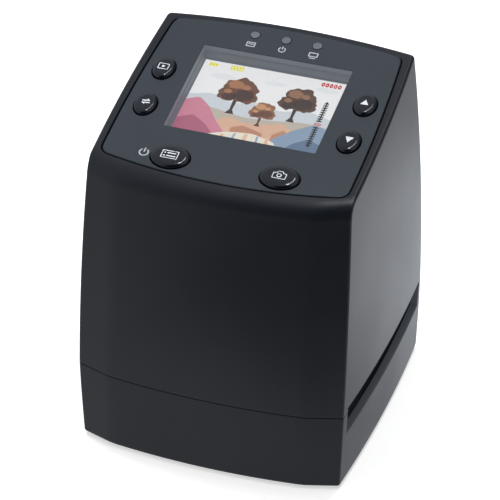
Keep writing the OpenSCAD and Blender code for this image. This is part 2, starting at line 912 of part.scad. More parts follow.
// Screws that hold the light board on its standoffs
module backlight_screws() {
  color("silver")
  at_spots(light_spots, light_board_top)
    mirror([0, 0, 1])
      screw(small_screw_d, board_t + 4, small_screw_d * 2, 1.4);
}

// Screws that hold the light tunnel on the upper guide
module tunnel_screws() {
  color("silver")
  at_spots(tunnel_spots, gate_top + 2)
    mirror([0, 0, 1])
      screw(small_screw_d, gate_t + 1.6, small_screw_d * 2, 1.4);
}

// Screws that clamp base, film guides and upper housing together
module housing_screws() {
  color("silver")
  at_spots(screw_spots, counterbore_top)
    screw(screw_d, gate_top + 10 - counterbore_top, 5.6, 2);
}

module rubber_feet() {
  color("#3a3a3a")
  at_spots(screw_spots)
    rotate_extrude($fn = fine) {
      square([foot_d / 2 - 0.4, foot_stand + foot_pocket]);
      translate([0, 0.4])
        square([foot_d / 2, foot_stand + foot_pocket - 0.4]);
      translate([foot_d / 2 - 0.4, 0.4])
        circle(r = 0.4, $fn = 24);
    }
}

tunnel_top = [2 * lens_d, 2 * lens_d - 2];

// Slab centred on the light's axis
module slab(w, d, low, high) {
  translate([-w / 2, slot_y - d / 2, low])
    cube([w, d, high - low]);
}

// Tapered tunnel that keeps stray light off the sensor
module light_tunnel() {
  color("#151617")
  difference() {
    union() {
      slab(gate_w + 22, gate_d + 16, gate_top, gate_top + 2);
      slab(tunnel_top[0] + 8, tunnel_top[1] + 8, camera_z - 2, camera_z);
      hull() {
        slab(tunnel_w + 2 * tunnel_t, tunnel_d + 2 * tunnel_t, gate_top, gate_top + 2);
        slab(tunnel_top[0] + 2 * tunnel_t, tunnel_top[1] + 2 * tunnel_t, camera_z - 2, camera_z);
      }
    }
    hull() {
      slab(tunnel_w, tunnel_d, gate_top - 0.01, gate_top);
      slab(tunnel_top[0], tunnel_top[1], camera_z, camera_z + 0.01);
    }
    at_spots(tunnel_spots)
      cylinder(d = small_screw_d + 4 * screw_slip, h = 60, $fn = fine);
  }
}

sensor_board_top = camera_z + board_t;

module sensor_board() {
  color("#1f5a34")
  slab(tunnel_top[0] + 8, tunnel_top[1] + 8, camera_z, sensor_board_top);
}

module image_sensor() {
  color("#3a4048")
  slab(9, 8, camera_z - 1, camera_z);
}

holder_w = lens_d + 4;
holder_h = 9;

// Holder that hangs under the sensor board and takes the lens barrel
module lens_holder() {
  color("#1a1b1d")
  difference() {
    slab(holder_w, holder_w, camera_z - holder_h, camera_z);
    translate([0, slot_y, camera_z - holder_h - 1])
      cylinder(d = lens_d + 0.1, h = holder_h - 2, $fn = fine);
    slab(lens_d + 1, lens_d + 1, camera_z - 3, camera_z + 1);
  }
}

lens_bottom = camera_z - 4 - lens_len;

module lens_barrel() {
  color("#222326")
  translate([0, slot_y, lens_bottom])
    difference() {
      cylinder(d = lens_d, h = lens_len, $fn = fine);
      translate([0, 0, -1])
        cylinder(d = lens_d - 4, h = lens_len + 2, $fn = fine);
      translate([0, 0, -1])
        cylinder(d1 = lens_d + 1, d2 = lens_d - 4, h = 3, $fn = fine);
    }
}

module lens_glass() {
  color("#7fa8c0", 0.5)
  translate([0, slot_y, lens_bottom + 2])
    cylinder(d = lens_d - 4, h = 2.4, $fn = fine);
}

ribbon_y = slot_y + 9;
ribbon_v = window_v;
connector_h = 2;

// Sockets at both ends of the sensor's ribbon
module ribbon_connectors() {
  color("#d9d2bd")
  union() {
    translate([-7, ribbon_y - 2, sensor_board_top])
      cube([14, 4, connector_h]);
    panel_box(0, ribbon_v, 14, 4, board_back - connector_h, board_back);
  }
}

// Flat ribbon that bows from the sensor board up to the main board
module sensor_ribbon() {
  low = [ribbon_y, sensor_board_top + connector_h];
  high = [
    panel_y + ribbon_v * cos(panel_slope) - (board_back - connector_h) * sin(panel_slope),
    panel_z + ribbon_v * sin(panel_slope) + (board_back - connector_h) * cos(panel_slope)];
  half = norm(high - low) / 2;
  sag = 4;
  r = (half * half + sag * sag) / (2 * sag);
  along = (high - low) / (2 * half);
  centre = (low + high) / 2 - [along[1], -along[0]] * (r - sag);
  color("#c98b3a")
  rotate([90, 0, 90])
    translate([0, 0, -5])
      linear_extrude(height = 10)
        intersection() {
          difference() {
            translate(centre)
              circle(r = r + 0.15, $fn = 256);
            translate(centre)
              circle(r = r - 0.15, $fn = 256);
          }
          polygon([low, low + [30, 0], high + [30, 0], high]);
        }
}

// Round rod between two points, with a bead at the second
module rod(from, to, d) {
  way = to - from;
  translate(from)
    rotate([0, acos(way[2] / norm(way)), atan2(way[1], way[0])])
      cylinder(d = d, h = norm(way), $fn = 24);
  translate(to)
    sphere(d = d * 1.25, $fn = 24);
}

lead_d = 1.4;
lead_x = -10;
lead_y = rear_reach - 5.6;
lead_z = light_board_top + 0.7;
lead_route = [[lead_x, slot_y + gate_d / 2 + 5.4, lead_z], [lead_x, lead_y, lead_z], [lead_x, lead_y, 34],
  [lead_x, lead_y - 5.9, 75], [lead_x, lead_y - 12.5, panel_z - 4]];

// Lead that feeds the light board, along the rear wall
module backlight_lead() {
  color("#8a1f1f")
  union() {
    for (leg = [1:len(lead_route) - 1])
      rod(lead_route[leg - 1], lead_route[leg], lead_d);
  }
}

upper_housing();
base_housing();
control_panel();
display_window();
lcd_frame();
lcd_panel();
play_button();
flip_button();
up_button();
down_button();
menu_button();
capture_button();
play_plunger();
flip_plunger();
up_plunger();
down_plunger();
menu_plunger();
capture_plunger();
switch_bodies();
card_lamp();
power_lamp();
pc_lamp();
lamp_leds();
main_board();
board_screws();
processor_chip();
memory_chip();
usb_socket();
card_socket();
film_track();
film_gate();
diffuser();
light_box();
backlight_board();
backlight_leds();
backlight_screws();
backlight_lead();
light_tunnel();
tunnel_screws();
sensor_board();
image_sensor();
lens_holder();
lens_barrel();
lens_glass();
ribbon_connectors();
sensor_ribbon();
housing_screws();
rubber_feet();
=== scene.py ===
import math
import bmesh
import bpy
import numpy as np
from mathutils import Matrix, Vector
from mathutils.geometry import tessellate_polygon


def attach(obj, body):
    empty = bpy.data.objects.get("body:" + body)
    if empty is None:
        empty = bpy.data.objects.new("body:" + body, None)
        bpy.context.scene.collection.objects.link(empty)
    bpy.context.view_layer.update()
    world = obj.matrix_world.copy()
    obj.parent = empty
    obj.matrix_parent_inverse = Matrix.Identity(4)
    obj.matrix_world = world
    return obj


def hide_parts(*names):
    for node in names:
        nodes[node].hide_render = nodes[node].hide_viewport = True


# Looks of a desktop scanner for film negatives and slides: both housings, the control panel and the
# button caps as finer meshes of the same size, the printed marks, the display's picture, a material for
# every piece, and a studio. X runs to the right, Y to the back and Z up.

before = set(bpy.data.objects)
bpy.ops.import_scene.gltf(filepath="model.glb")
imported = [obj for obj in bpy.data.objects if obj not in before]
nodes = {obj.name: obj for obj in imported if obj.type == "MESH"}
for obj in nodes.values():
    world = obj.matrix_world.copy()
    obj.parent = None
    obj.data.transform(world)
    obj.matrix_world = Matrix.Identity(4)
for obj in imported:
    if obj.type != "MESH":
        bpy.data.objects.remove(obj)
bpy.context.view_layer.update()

# ---- sizes of the housings, in mm ----
SEAM = 28.0
FAR = 60.0

# Each wall: radius of its sweep in height, radius of its bow in plan, reach at the seam, and lean there
FRONT = dict(sweep=800.0, bow=243.0, reach=47.7, lean=math.radians(3.15))
REAR = dict(sweep=640.0, bow=290.0, reach=45.5, lean=math.radians(2.6))
SIDE = dict(sweep=1250.0, bow=600.0, reach=45.5, lean=0.0)
UPPER_LEANS = (FRONT["lean"], REAR["lean"], SIDE["lean"])
BASE_LEANS = (math.radians(-1.5), math.radians(5.7), math.radians(-1.4))
SIDE_MID = -2.0

# Soft knees between the front's bow and its straight facets: place, radius, and turn of the facets
KNEE_X, KNEE_R, FACET = 32.5, 20.0, math.radians(18.5)

WALL = 2.5
CORNER_RADII = (1.0, 1.5)
SEAM_HALF_GAP, SEAM_LIP = 0.11, 0.08
BASE_BOTTOM, BASE_ROUND, BASE_FLOOR = 0.8, 1.0, 3.3
TONGUE_GAP, TONGUE_T, TONGUE_LOW, TONGUE_TOP = 0.35, 1.2, 25.6, 30.2

# Round edges between the walls and the top: radii, and each wall's tilt against the panel's normal
BLEND_R, RIM_R = 8.0, 1.1
FRONT_TILT, SIDE_TILT, REAR_TILT = math.radians(23.0), math.radians(3.6), math.radians(-5.3)

# Film slot, housing screws and the posts of the light box
SLOT_Y, SLOT_W, SLOT_Z, SLOT_H = 0.6, 77.0, 19.8, 9.9
SCREW_SPOTS = [(x, SLOT_Y + y) for x in (-32, 32) for y in (-35.5, 35.5)]
SCREW_HOLE_R, SCREW_BORE_R, SCREW_SEAT = 1.55, 3.0, 14.0
FOOT_R, FOOT_DEPTH = 5.65, 1.5
POST_R, POST_FOOT, POST_TOP = 4.0, 3.1, 17.0
BOSS_R, BOSS_LOW, BOSS_TOP = 3.2, 29.6, 43.6
LIGHT_SPOTS = [(x, SLOT_Y + y) for x in (-26, 26) for y in (-18, 18)]
LIGHT_POST_R, LIGHT_POST_TOP = 2.5, 9.0
SMALL_HOLE_R = 1.15

# ---- sizes in the panel's frame, in mm: u to the right, v up the slope, n out of the panel ----
PANEL_Y, PANEL_Z, SLOPE = -4.5, 108.6, math.radians(14.8)
PANEL_UP = Vector((0.0, -math.sin(SLOPE), math.cos(SLOPE)))
PANEL_FORWARD = Vector((0.0, -math.cos(SLOPE), -math.sin(SLOPE)))
WALLS_TOP, ROOF = -5.2, -3.8

# The plate: thickness, corners, and for each edge its reach and the radius of its bow
PLATE_T, PLATE_CORNER_R = 2.0, 3.5
PLATE_FRONT, PLATE_SIDE, PLATE_REAR = 32.0, 40.0, 38.4
PLATE_FRONT_R, PLATE_SIDE_R, PLATE_REAR_R = 188.0, 550.0, 235.0
PLATE_SIDE_MID = -13.0
CUT_LOW, CUT_TOP = -5.0, -1.0

WINDOW_V, WINDOW_W, WINDOW_H, WINDOW_R = 6.6, 49.4, 37.7, 0.35
FRAME_HOLE = (53.7, 42.0)
PICTURE_N, PICTURE_W, PICTURE_H = -5.9, 48.96, 36.72

SIDE_W, FRONT_W, BUTTON_L, PROUD = 7.1, 12.5, 9.4, 1.3
BUTTON_GAP, SHOULDER_R, SHOULDER_H = 0.3, 1.9, 1.1
FLANGE, FLANGE_LOW, FLANGE_TOP = 1.0, -4.95, -3.95
BUTTONS = {
    "play": (-33.25, 11.5, SIDE_W),
    "flip": (-33.25, -5.2, SIDE_W),
    "up": (33.25, 11.5, SIDE_W),
    "down": (33.25, -5.2, SIDE_W),
    "menu": (-17.7, -25.2, FRONT_W),
    "capture": (17.7, -25.2, FRONT_W)}

LAMP_US = (-10.4, 0.0, 10.4)
LAMP_V, LAMP_HOLE_R = 33.6, 1.65
BOARD_SPOTS = [(u, v) for u in (-34.5, 34.5) for v in (-18.5, 24.5)]
BOARD_BOSS_R, BOARD_BOSS_LOW, BOARD_BOSS_TOP = 2.8, -9.6, -3.7

# Cutters of the ports in the rear wall: middle in u, width, lower and upper depth
PORTS = {"plug_hole": (-20, 11, -17.2, -9.2), "card_hole": (10, 25.4, -14.4, -11.4)}
PORT_V, PORT_LENGTH = 45, 24


def panel_point(u, v, n):
    """A point of the panel's frame in the object's frame."""
    c, s = math.cos(SLOPE), math.sin(SLOPE)
    return (u, PANEL_Y + v * c - n * s, PANEL_Z + v * s + n * c)


def panel_spot(point):
    """The v and n of a point of the object's frame."""
    y, z = point.y - PANEL_Y, point.z - PANEL_Z
    return y * math.cos(SLOPE) + z * math.sin(SLOPE), z * math.cos(SLOPE) - y * math.sin(SLOPE)


def panel_plane(n):
    """The plane at height n over the panel as z = a + b * y."""
    return PANEL_Z + n / math.cos(SLOPE) - PANEL_Y * math.tan(SLOPE), math.tan(SLOPE)


# ---- mesh helpers ----
def make_object(name, verts, faces, scale=0.001):
    """An object in the scene; scale turns the points' unit into metres."""
    mesh = bpy.data.meshes.new(name)
    mesh.from_pydata([[c * scale for c in v] for v in verts], [], faces)
    mesh.update()
    obj = bpy.data.objects.new(name, mesh)
    bpy.context.scene.collection.objects.link(obj)
    bm = bmesh.new()
    bm.from_mesh(mesh)
    bmesh.ops.recalc_face_normals(bm, faces=bm.faces)
    bm.to_mesh(mesh)
    bm.free()
    return obj


def skin(first, n, loops):
    """Faces between neighbouring closed loops of n points each, whose points start at index first."""
    faces = []
    for k in range(loops - 1):
        for i in range(n):
            a, b = first + k * n + i, first + k * n + (i + 1) % n
            faces.append((a, b, b + n, a + n))
    return faces


def loft(name, rings):
    """A closed solid through rings that have the same number of points."""
    n = len(rings[0])
    verts = [p for ring in rings for p in ring]
    ends = [tuple(range(n))[::-1], tuple(range(len(verts) - n, len(verts)))]
    return make_object(name, verts, skin(0, n, len(rings)) + ends)


def panel_loft(name, levels):
    """A solid through outlines in the panel's frame; levels are pairs of an outline and its n."""
    return loft(name, [[panel_point(u, v, n) for u, v in loop] for loop, n in levels])


def pierced_plate(name, outer, holes):
    """A plate with a flat top and bottom; outer and each hole are levels from below to the top."""
    verts, faces, bottom, top = [], [], [], []
    for levels in [outer] + holes:
        first, m = len(verts), len(levels[0][0])
        verts += [panel_point(u, v, n) for loop, n in levels for u, v in loop]
        faces += skin(first, m, len(levels))
        bottom.append((levels[0][0], first))
        top.append((levels[-1][0], len(verts) - m))
    for loops in (bottom, top):
        index = [start + i for loop, start in loops for i in range(len(loop))]
        for triangle in tessellate_polygon([[Vector((u, v, 0)) for u, v in loop] for loop, _ in loops]):
            faces.append(tuple(index[i] for i in triangle))
    return make_object(name, verts, faces)


def box(name, low, high):
    """A box between two corners."""
    (x0, y0, z0), (x1, y1, z1) = low, high
    verts = [(x, y, z) for z in (z0, z1) for x, y in ((x0, y0), (x1, y0), (x1, y1), (x0, y1))]
    faces = [(3, 2, 1, 0), (4, 5, 6, 7), (0, 1, 5, 4), (1, 2, 6, 5), (2, 3, 7, 6), (3, 0, 4, 7)]
    return make_object(name, verts, faces)


def lathe(name, profile, place):
    """A ring turned from a closed profile of (r, h); place(x, y, h) sets each point down."""
    verts, faces = [], []
    m, count = len(profile), 40
    for k in range(count):
        t = 2 * math.pi * k / count
        verts += [place(r * math.cos(t), r * math.sin(t), h) for r, h in profile]
        after = (k + 1) % count
        for i in range(m):
            j = (i + 1) % m
            faces.append((k * m + i, k * m + j, after * m + j, after * m + i))
    return make_object(name, verts, faces)


def sleeve(place, r_out, r_in, low, high):
    """A tube with a straight hole."""
    return lathe("sleeve", [(r_in, low), (r_out, low), (r_out, high), (r_in, high)], place)


def on_panel(u, v):
    """Placing of a turned piece square to the panel."""
    return lambda x, y, h: panel_point(u + x, v + y, h)


def upright(x0, y0):
    """Placing of a turned piece that stands upright."""
    return lambda x, y, h: (x0 + x, y0 + y, h)


def upright_disc(spot, r, low, high):
    """A cylinder that stands upright."""
    return loft("disc", [[(x, y, z) for x, y in shifted(ellipse(r, r, 48), *spot)] for z in (low, high)])


def cut(obj, cutters):
    """Cuts the cutters out of obj in turn and removes them."""
    for cutter in cutters:
        mod = obj.modifiers.new("cut", "BOOLEAN")
        mod.operation = "DIFFERENCE"
        mod.solver = "EXACT"
        mod.object = cutter
        deps = bpy.context.evaluated_depsgraph_get()
        mesh = bpy.data.meshes.new_from_object(obj.evaluated_get(deps))
        obj.modifiers.clear()
        old = obj.data
        obj.data = mesh
        mesh.name = obj.name
        bpy.data.meshes.remove(old)
        bpy.data.objects.remove(cutter)


def join(target, others):
    """Adds the meshes of others to target and removes them."""
    bm = bmesh.new()
    bm.from_mesh(target.data)
    for other in others:
        bm.from_mesh(other.data)
        bpy.data.objects.remove(other)
    bm.to_mesh(target.data)
    bm.free()


def smooth(obj, angle):
    """Smooth shading that stops at edges sharper than angle, in degrees."""
    bm = bmesh.new()
    bm.from_mesh(obj.data)
    bmesh.ops.remove_doubles(bm, verts=bm.verts, dist=2e-7)
    for face in bm.faces:
        face.smooth = True
    for edge in bm.edges:
        edge.smooth = len(edge.link_faces) != 2 or edge.calc_face_angle(0.0) < math.radians(angle)
    bm.to_mesh(obj.data)
    bm.free()
    weigh = obj.modifiers.new("even_faces", "WEIGHTED_NORMAL")
    weigh.keep_sharp = True


def finish_piece(obj, material, node, angle, body="scanner"):
    """Shades obj, gives it its material and lets it stand for a node of the frame on the node's body."""
    smooth(obj, angle)
    obj.data.materials.clear()
    obj.data.materials.append(material)
    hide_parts(node)
    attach(obj, body)


def paint_faces(obj, material, chosen):
    """Gives a second material to the faces for which chosen(centre in mm, normal) holds."""
    obj.data.materials.append(material)
    for poly in obj.data.polygons:
        if chosen(poly.center * 1000, poly.normal):
            poly.material_index = 1


# ---- outlines ----
def shifted(loop, u, v):
    return [(x + u, y + v) for x, y in loop]


def moved(shapes, u, v):
    """Shifts shapes, of which each is an outline or a pair of an outer and an inner outline."""
    result = []
    for shape in shapes:
        pair = isinstance(shape, tuple)
        result.append(tuple(shifted(loop, u, v) for loop in shape) if pair else shifted(shape, u, v))
    return result


def ellipse(a, b, count):
    return [(a * math.cos(t), b * math.sin(t)) for t in np.linspace(0, 2 * math.pi, count, endpoint=False)]


def rect(w, h, r=0.0, steps=3):
    """A rectangle round the origin, with round corners where r is given."""
    if r <= 0:
        return bar(-w / 2, -h / 2, w / 2, h / 2)
    points = []
    for cx, cy, start in ((1, -1, -90), (1, 1, 0), (-1, 1, 90), (-1, -1, 180)):
        for t in np.radians(np.linspace(start, start + 90, steps + 1)):
            points.append((cx * (w / 2 - r) + r * math.cos(t), cy * (h / 2 - r) + r * math.sin(t)))
    return points


def bar(x0, y0, x1, y1):
    return [(x0, y0), (x1, y0), (x1, y1), (x0, y1)]


def frame_shape(w, h, line, r=0.3):
    """The outer and inner outline of a rectangle drawn with a line."""
    return rect(w, h, r), rect(w - 2 * line, h - 2 * line, max(r - line, 0.04))


def ring_arc(r, line, start=0.0, end=360.0, count=32):
    """Quads along the arc of a ring drawn with a line, between two angles in degrees."""
    angles = np.radians(np.linspace(start, end, count + 1))
    near, far = r - line / 2, r + line / 2
    return [[(k * math.cos(t), k * math.sin(t)) for k, t in ((near, a), (far, a), (far, b), (near, b))]
            for a, b in zip(angles[:-1], angles[1:])]


def button_outline(name, grow):
    u, v, width = BUTTONS[name]
    return shifted(ellipse(width / 2 + grow, BUTTON_L / 2 + grow, 96), u, v)


def lamp_outline(u, grow=0.0):
    return shifted(ellipse(LAMP_HOLE_R + grow, LAMP_HOLE_R + grow, 40), u, LAMP_V)


# ---- plan curves of the walls ----
def bow_setback(bow):
    """Places along a bowed wall and its setback behind its middle."""
    h = np.linspace(-FAR, FAR, 481)
    return np.stack([h, bow - np.sqrt(bow**2 - h**2)], 1)


def heading(angle):
    """Outward direction of the front at an angle from its middle."""
    return np.array([math.sin(angle), -math.cos(angle)])


def front_setback():
    """Places along the front and its setback: a bow, then a soft knee and a straight facet on each side."""
    bow = FRONT["bow"]
    centre = np.array([0.0, bow])
    knee = np.array([KNEE_X, bow - math.sqrt(bow**2 - KNEE_X**2)])
    dist = heading(FACET) @ (centre - knee)
    turn = FACET - math.acos((-KNEE_R - dist) / (bow - KNEE_R))
    knee_centre = centre + (bow - KNEE_R) * heading(turn)
    along = np.array([math.cos(FACET), math.sin(FACET)])
    points = [centre + bow * heading(t) for t in np.linspace(0, turn, 80)]
    points += [knee_centre + KNEE_R * heading(t) for t in np.linspace(turn, FACET, 24)[1:]]
    points += [knee_centre + KNEE_R * heading(FACET) + along * s for s in np.linspace(0, 30, 12)[1:]]
    half = np.array(points)
    return np.concatenate([half[:0:-1] * [-1, 1], half])


PLANS = {"front": front_setback(), "rear": bow_setback(REAR["bow"]), "side": bow_setback(SIDE["bow"])}


def inset_plan(name, inset):
    """A plan curve drawn in by inset, as places and setbacks."""
    plan = PLANS[name]
    along = np.gradient(plan, axis=0)
    along /= np.linalg.norm(along, axis=1)[:, None]
    drawn = plan + inset * np.stack([-along[:, 1], along[:, 0]], 1)
    return drawn[:, 0], drawn[:, 1]


class Walls:
    """The walls of one housing, drawn in by inset: how far each one reaches at a place and a height."""

    def __init__(self, leans, inset=0.0):
        self.leans = leans
        self.inset = inset

    def _reach(self, wall, name, lean, at, z, extra):
        radius = wall["sweep"] - np.interp(at, *inset_plan(name, self.inset)) - extra
        centre_z = SEAM - wall["sweep"] * math.sin(lean)
        return np.sqrt(radius**2 - (z - centre_z) ** 2) - wall["sweep"] * math.cos(lean) + wall["reach"]

    def front(self, x, z, extra):
        return -self._reach(FRONT, "front", self.leans[0], x, z, extra)

    def rear(self, x, z, extra):
        return self._reach(REAR, "rear", self.leans[1], x, z, extra)

    def side(self, y, z, extra):
        return self._reach(SIDE, "side", self.leans[2], y - SIDE_MID, z, extra)


# ---- sections of the walls ----
# Places of the front's points from the middle to the corner: close together at the knee and on the facet
FRONT_PARTS = np.concatenate([np.linspace(0, 0.64, 12), np.arange(0.66, 0.985, 0.02)])


def meeting_point(curve, side, y):
    """Where curve(x) meets side(y), found in steps from a first guess of y."""
    for _ in range(30):
        x = float(side(y))
        y = float(curve(x))
    return np.array([x, y])


def fillet(corner, to_a, to_b, radius):
    """Centre of a round corner between two directions, and the length that it takes off each."""
    to_a, to_b = to_a / np.linalg.norm(to_a), to_b / np.linalg.norm(to_b)
    half = math.acos(float(np.clip(to_a @ to_b, -1, 1))) / 2
    between = (to_a + to_b) / np.linalg.norm(to_a + to_b)
    return corner + between * radius / math.sin(half), radius / math.tan(half)


def corner_arc(curve, side, guess, radius, count):
    """Points of the round corner between curve(x) and side(y), from the curve to the side."""
    corner = meeting_point(curve, side, guess)
    step = 0.05
    inward = step if guess < 0 else -step
    to_mid = np.array([-step, float(curve(corner[0] - step)) - corner[1]])
    to_side = np.array([float(side(corner[1] + inward)) - corner[0], inward])
    centre, length = fillet(corner, to_mid, to_side, radius)
    x = corner[0] + to_mid[0] / np.linalg.norm(to_mid) * length
    y = corner[1] + to_side[1] / np.linalg.norm(to_side) * length
    ends = (np.array([x, float(curve(x))]), np.array([float(side(y)), y]))
    radii = [np.linalg.norm(end - centre) for end in ends]
    angles = np.unwrap([math.atan2(*(end - centre)[::-1]) for end in ends])
    arc = []
    for t in np.linspace(0, 1, count + 1):
        angle = angles[0] + (angles[1] - angles[0]) * t
        r = radii[0] + (radii[1] - radii[0]) * t
        arc.append(centre + r * np.array([math.cos(angle), math.sin(angle)]))
    arc[0], arc[-1] = ends
    return arc


def section_loop(front, side, rear, radii, parts=FRONT_PARTS, n_side=44, n_rear=22, n_arc=7):
    """A closed loop in plan through curves front(x), side(y) and rear(x), with round corners."""
    fore = corner_arc(front, side, -40.0, radii[0], n_arc)
    aft = corner_arc(rear, side, 40.0, radii[1], n_arc)
    half = [np.array([x, float(front(x))]) for x in fore[0][0] * parts]
    half += fore
    half += [np.array([float(side(y)), y]) for y in np.linspace(fore[-1][1], aft[-1][1], n_side + 2)[1:-1]]
    half += aft[::-1]
    half += [np.array([x, float(rear(x))]) for x in np.linspace(aft[0][0], 0, n_rear + 1)[1:]]
    half = np.array(half)
    return np.concatenate([half, half[-2:0:-1] * [-1, 1]])


def tilted_ring(walls, a, b, extras=(0.0, 0.0, 0.0), radii=CORNER_RADII, **more):
    """Section of the walls with the plane z = a + b * y; extras draw in the front, sides and rear."""

    def settle(curve, x, y, extra):
        for _ in range(12):
            y = float(curve(x, a + b * y, extra))
        return y

    loop = section_loop(
        lambda x: settle(walls.front, x, -45.0, extras[0]),
        lambda y: float(walls.side(y, a + b * y, extras[1])),
        lambda x: settle(walls.rear, x, 40.0, extras[2]),
        radii, **more)
    return [(x, y, a + b * y) for x, y in loop]


def coarse_form(name, walls, planes):
    """A solid inside the walls, with few points, through planes z = a + b * y."""
    few = dict(radii=(1.0, 1.0), parts=np.linspace(0, 0.9, 9), n_side=10, n_rear=6, n_arc=3)
    return loft(name, [tilted_ring(walls, a, b, **few) for a, b in planes])


def round_off(n, radius, tilt):
    """How far a round edge draws a wall in at height n (<= 0) over the panel; tilt is the wall's own."""
    if n <= -radius + radius * math.sin(tilt):
        return 0.0
    centre = (-radius + radius * math.sin(tilt)) / math.cos(tilt)
    on_arc = centre + math.sqrt(max(radius**2 - (n + radius) ** 2, 0.0))
    return (-n * math.tan(tilt) - on_arc) * math.cos(tilt)


def plate_loop(margin):
    """The plate's outline, grown by margin."""

    def bow(reach, radius, at):
        return reach - radius + math.sqrt((radius + margin) ** 2 - at**2)

    return section_loop(
        lambda u: -bow(PLATE_FRONT, PLATE_FRONT_R, u),
        lambda v: bow(PLATE_SIDE, PLATE_SIDE_R, v - PLATE_SIDE_MID),
        lambda u: bow(PLATE_REAR, PLATE_REAR_R, u),
        (PLATE_CORNER_R + margin,) * 2, parts=np.linspace(0, 0.95, 18), n_side=36, n_rear=18, n_arc=10)


# ---- materials ----
def feed(tree, node, inputs):
    """Gives the inputs of a shader node their values, or links them to the outputs given."""
    for key, value in inputs.items():
        if isinstance(value, bpy.types.NodeSocket):
            tree.links.new(value, node.inputs[key])
        else:
            node.inputs[key].default_value = value


def shader_node(tree, kind, inputs):
    """A new shader node with its inputs."""
    node = tree.nodes.new(kind)
    feed(tree, node, inputs)
    return node


def map_range(tree, value, source, target, curve="LINEAR"):
    """Maps value from the range source to the range target."""
    (low, high), (first, last) = source, target
    node = tree.nodes.new("ShaderNodeMapRange")
    node.interpolation_type = curve
    feed(tree, node, {"Value": value, "From Min": low, "From Max": high, "To Min": first, "To Max": last})
    return node.outputs["Result"]


def noise(tree, inputs):
    return shader_node(tree, "ShaderNodeTexNoise", inputs).outputs["Fac"]


def vector_math(tree, operation, a, b):
    """The number that an operation on two vectors gives."""
    node = tree.nodes.new("ShaderNodeVectorMath")
    node.operation = operation
    feed(tree, node, {0: a, 1: b})
    return node.outputs["Value"]


def two_tones(tree, value, source, tones):
    """A colour that runs from the first tone to the second while value runs through the range source."""
    ramp = shader_node(tree, "ShaderNodeValToRGB", {"Fac": value})
    for element, position, tone in zip(ramp.color_ramp.elements, source, tones):
        element.position = position
        element.color = (*tone, 1)
    return ramp.outputs["Color"]


def new_material(name):
    mat = bpy.data.materials.new(name)
    mat.use_nodes = True
    return mat, mat.node_tree, mat.node_tree.nodes["Principled BSDF"]


def plastic(name, colour, rough, grain=0.25, depth=0.02, vary=0.12, rough_vary=0.05, level=0.5, coat=0.0,
            glow=(0.0, 0.0, 0.0)):
    """Moulded plastic whose colour and gloss vary a little; grain and depth of its surface are in mm; glow
    is painted light that lifts shade.
    """
    mat, tree, bsdf = new_material(name)
    place = tree.nodes.new("ShaderNodeTexCoord").outputs["Object"]
    broad = noise(tree, {"Vector": place, "Scale": 38.0, "Detail": 3.0})
    fine = noise(tree, {"Vector": place, "Scale": 1000.0 / grain, "Detail": 2.0})
    relief = {"Strength": 0.35, "Distance": depth * 0.001, "Height": fine}
    bump = shader_node(tree, "ShaderNodeBump", relief)
    tones = [[c * (1 - vary) for c in colour], [c * (1 + vary) for c in colour]]
    feed(tree, bsdf, {
        "Base Color": two_tones(tree, broad, (0.3, 0.7), tones),
        "Roughness": map_range(tree, broad, (0.0, 1.0), (rough - rough_vary, rough + rough_vary)),
        "Normal": bump.outputs["Normal"],
        "Specular IOR Level": level,
        "Coat Weight": coat,
        "Coat Roughness": 0.1,
        "Emission Color": (*glow, 1),
        "Emission Strength": 1.0 if any(glow) else 0.0})
    return mat


def metal(name, colour, rough):
    """Bare sheet or turned metal."""
    mat = plastic(name, colour, rough, grain=0.15, depth=0.01, vary=0.08, rough_vary=0.08)
    mat.node_tree.nodes["Principled BSDF"].inputs["Metallic"].default_value = 1.0
    return mat


def glowing(name, colour, strength):
    """A patch of the display's picture, broken into fine dots of 0.22 mm."""
    mat, tree, bsdf = new_material(name)
    place = tree.nodes.new("ShaderNodeTexCoord").outputs["Object"]
    dots = noise(tree, {"Vector": place, "Scale": 1000.0 / 0.22})
    tones = [[c * 0.86 for c in colour], [min(c * 1.1, 1) for c in colour]]
    feed(tree, bsdf, {
        "Base Color": (0.02, 0.02, 0.02, 1),
        "Roughness": 0.25,
        "Emission Color": two_tones(tree, dots, (0.35, 0.65), tones),
        "Emission Strength": strength})
    return mat


def clear_pane(name):
    """The display's clear pane, nearly invisible but for its gloss."""
    mat, tree, bsdf = new_material(name)
    wear = noise(tree, {"Scale": 60.0})
    feed(tree, bsdf, {
        "Base Color": (0.05, 0.055, 0.065, 1),
        "Roughness": map_range(tree, wear, (0.0, 1.0), (0.04, 0.08)),
        "Alpha": 0.1})
    return mat


def lens_glass(name):
    mat, tree, bsdf = new_material(name)
    feed(tree, bsdf, {"Base Color": (0.02, 0.03, 0.05, 1), "Roughness": 0.04, "Coat Weight": 0.6})
    return mat


def paint_glow_in_plate_shade(mat, gain):
    """Painted light: faces that look out of the panel, in the plate's shade, give off gain times as much
    glow.
    """
    tree = mat.node_tree
    normal = tree.nodes.new("ShaderNodeNewGeometry").outputs["Normal"]
    facing = vector_math(tree, "DOT_PRODUCT", normal, PANEL_UP)
    feed(tree, tree.nodes["Principled BSDF"], {
        "Emission Strength": map_range(tree, facing, (0.6, 0.95), (1.0, gain))})


def srgb(*channels):
    """A display colour of three channels from 0 to 255 in linear light."""
    return tuple(c / 255 / 12.92 if c <= 10 else ((c / 255 + 0.055) / 1.055) ** 2.4 for c in channels)


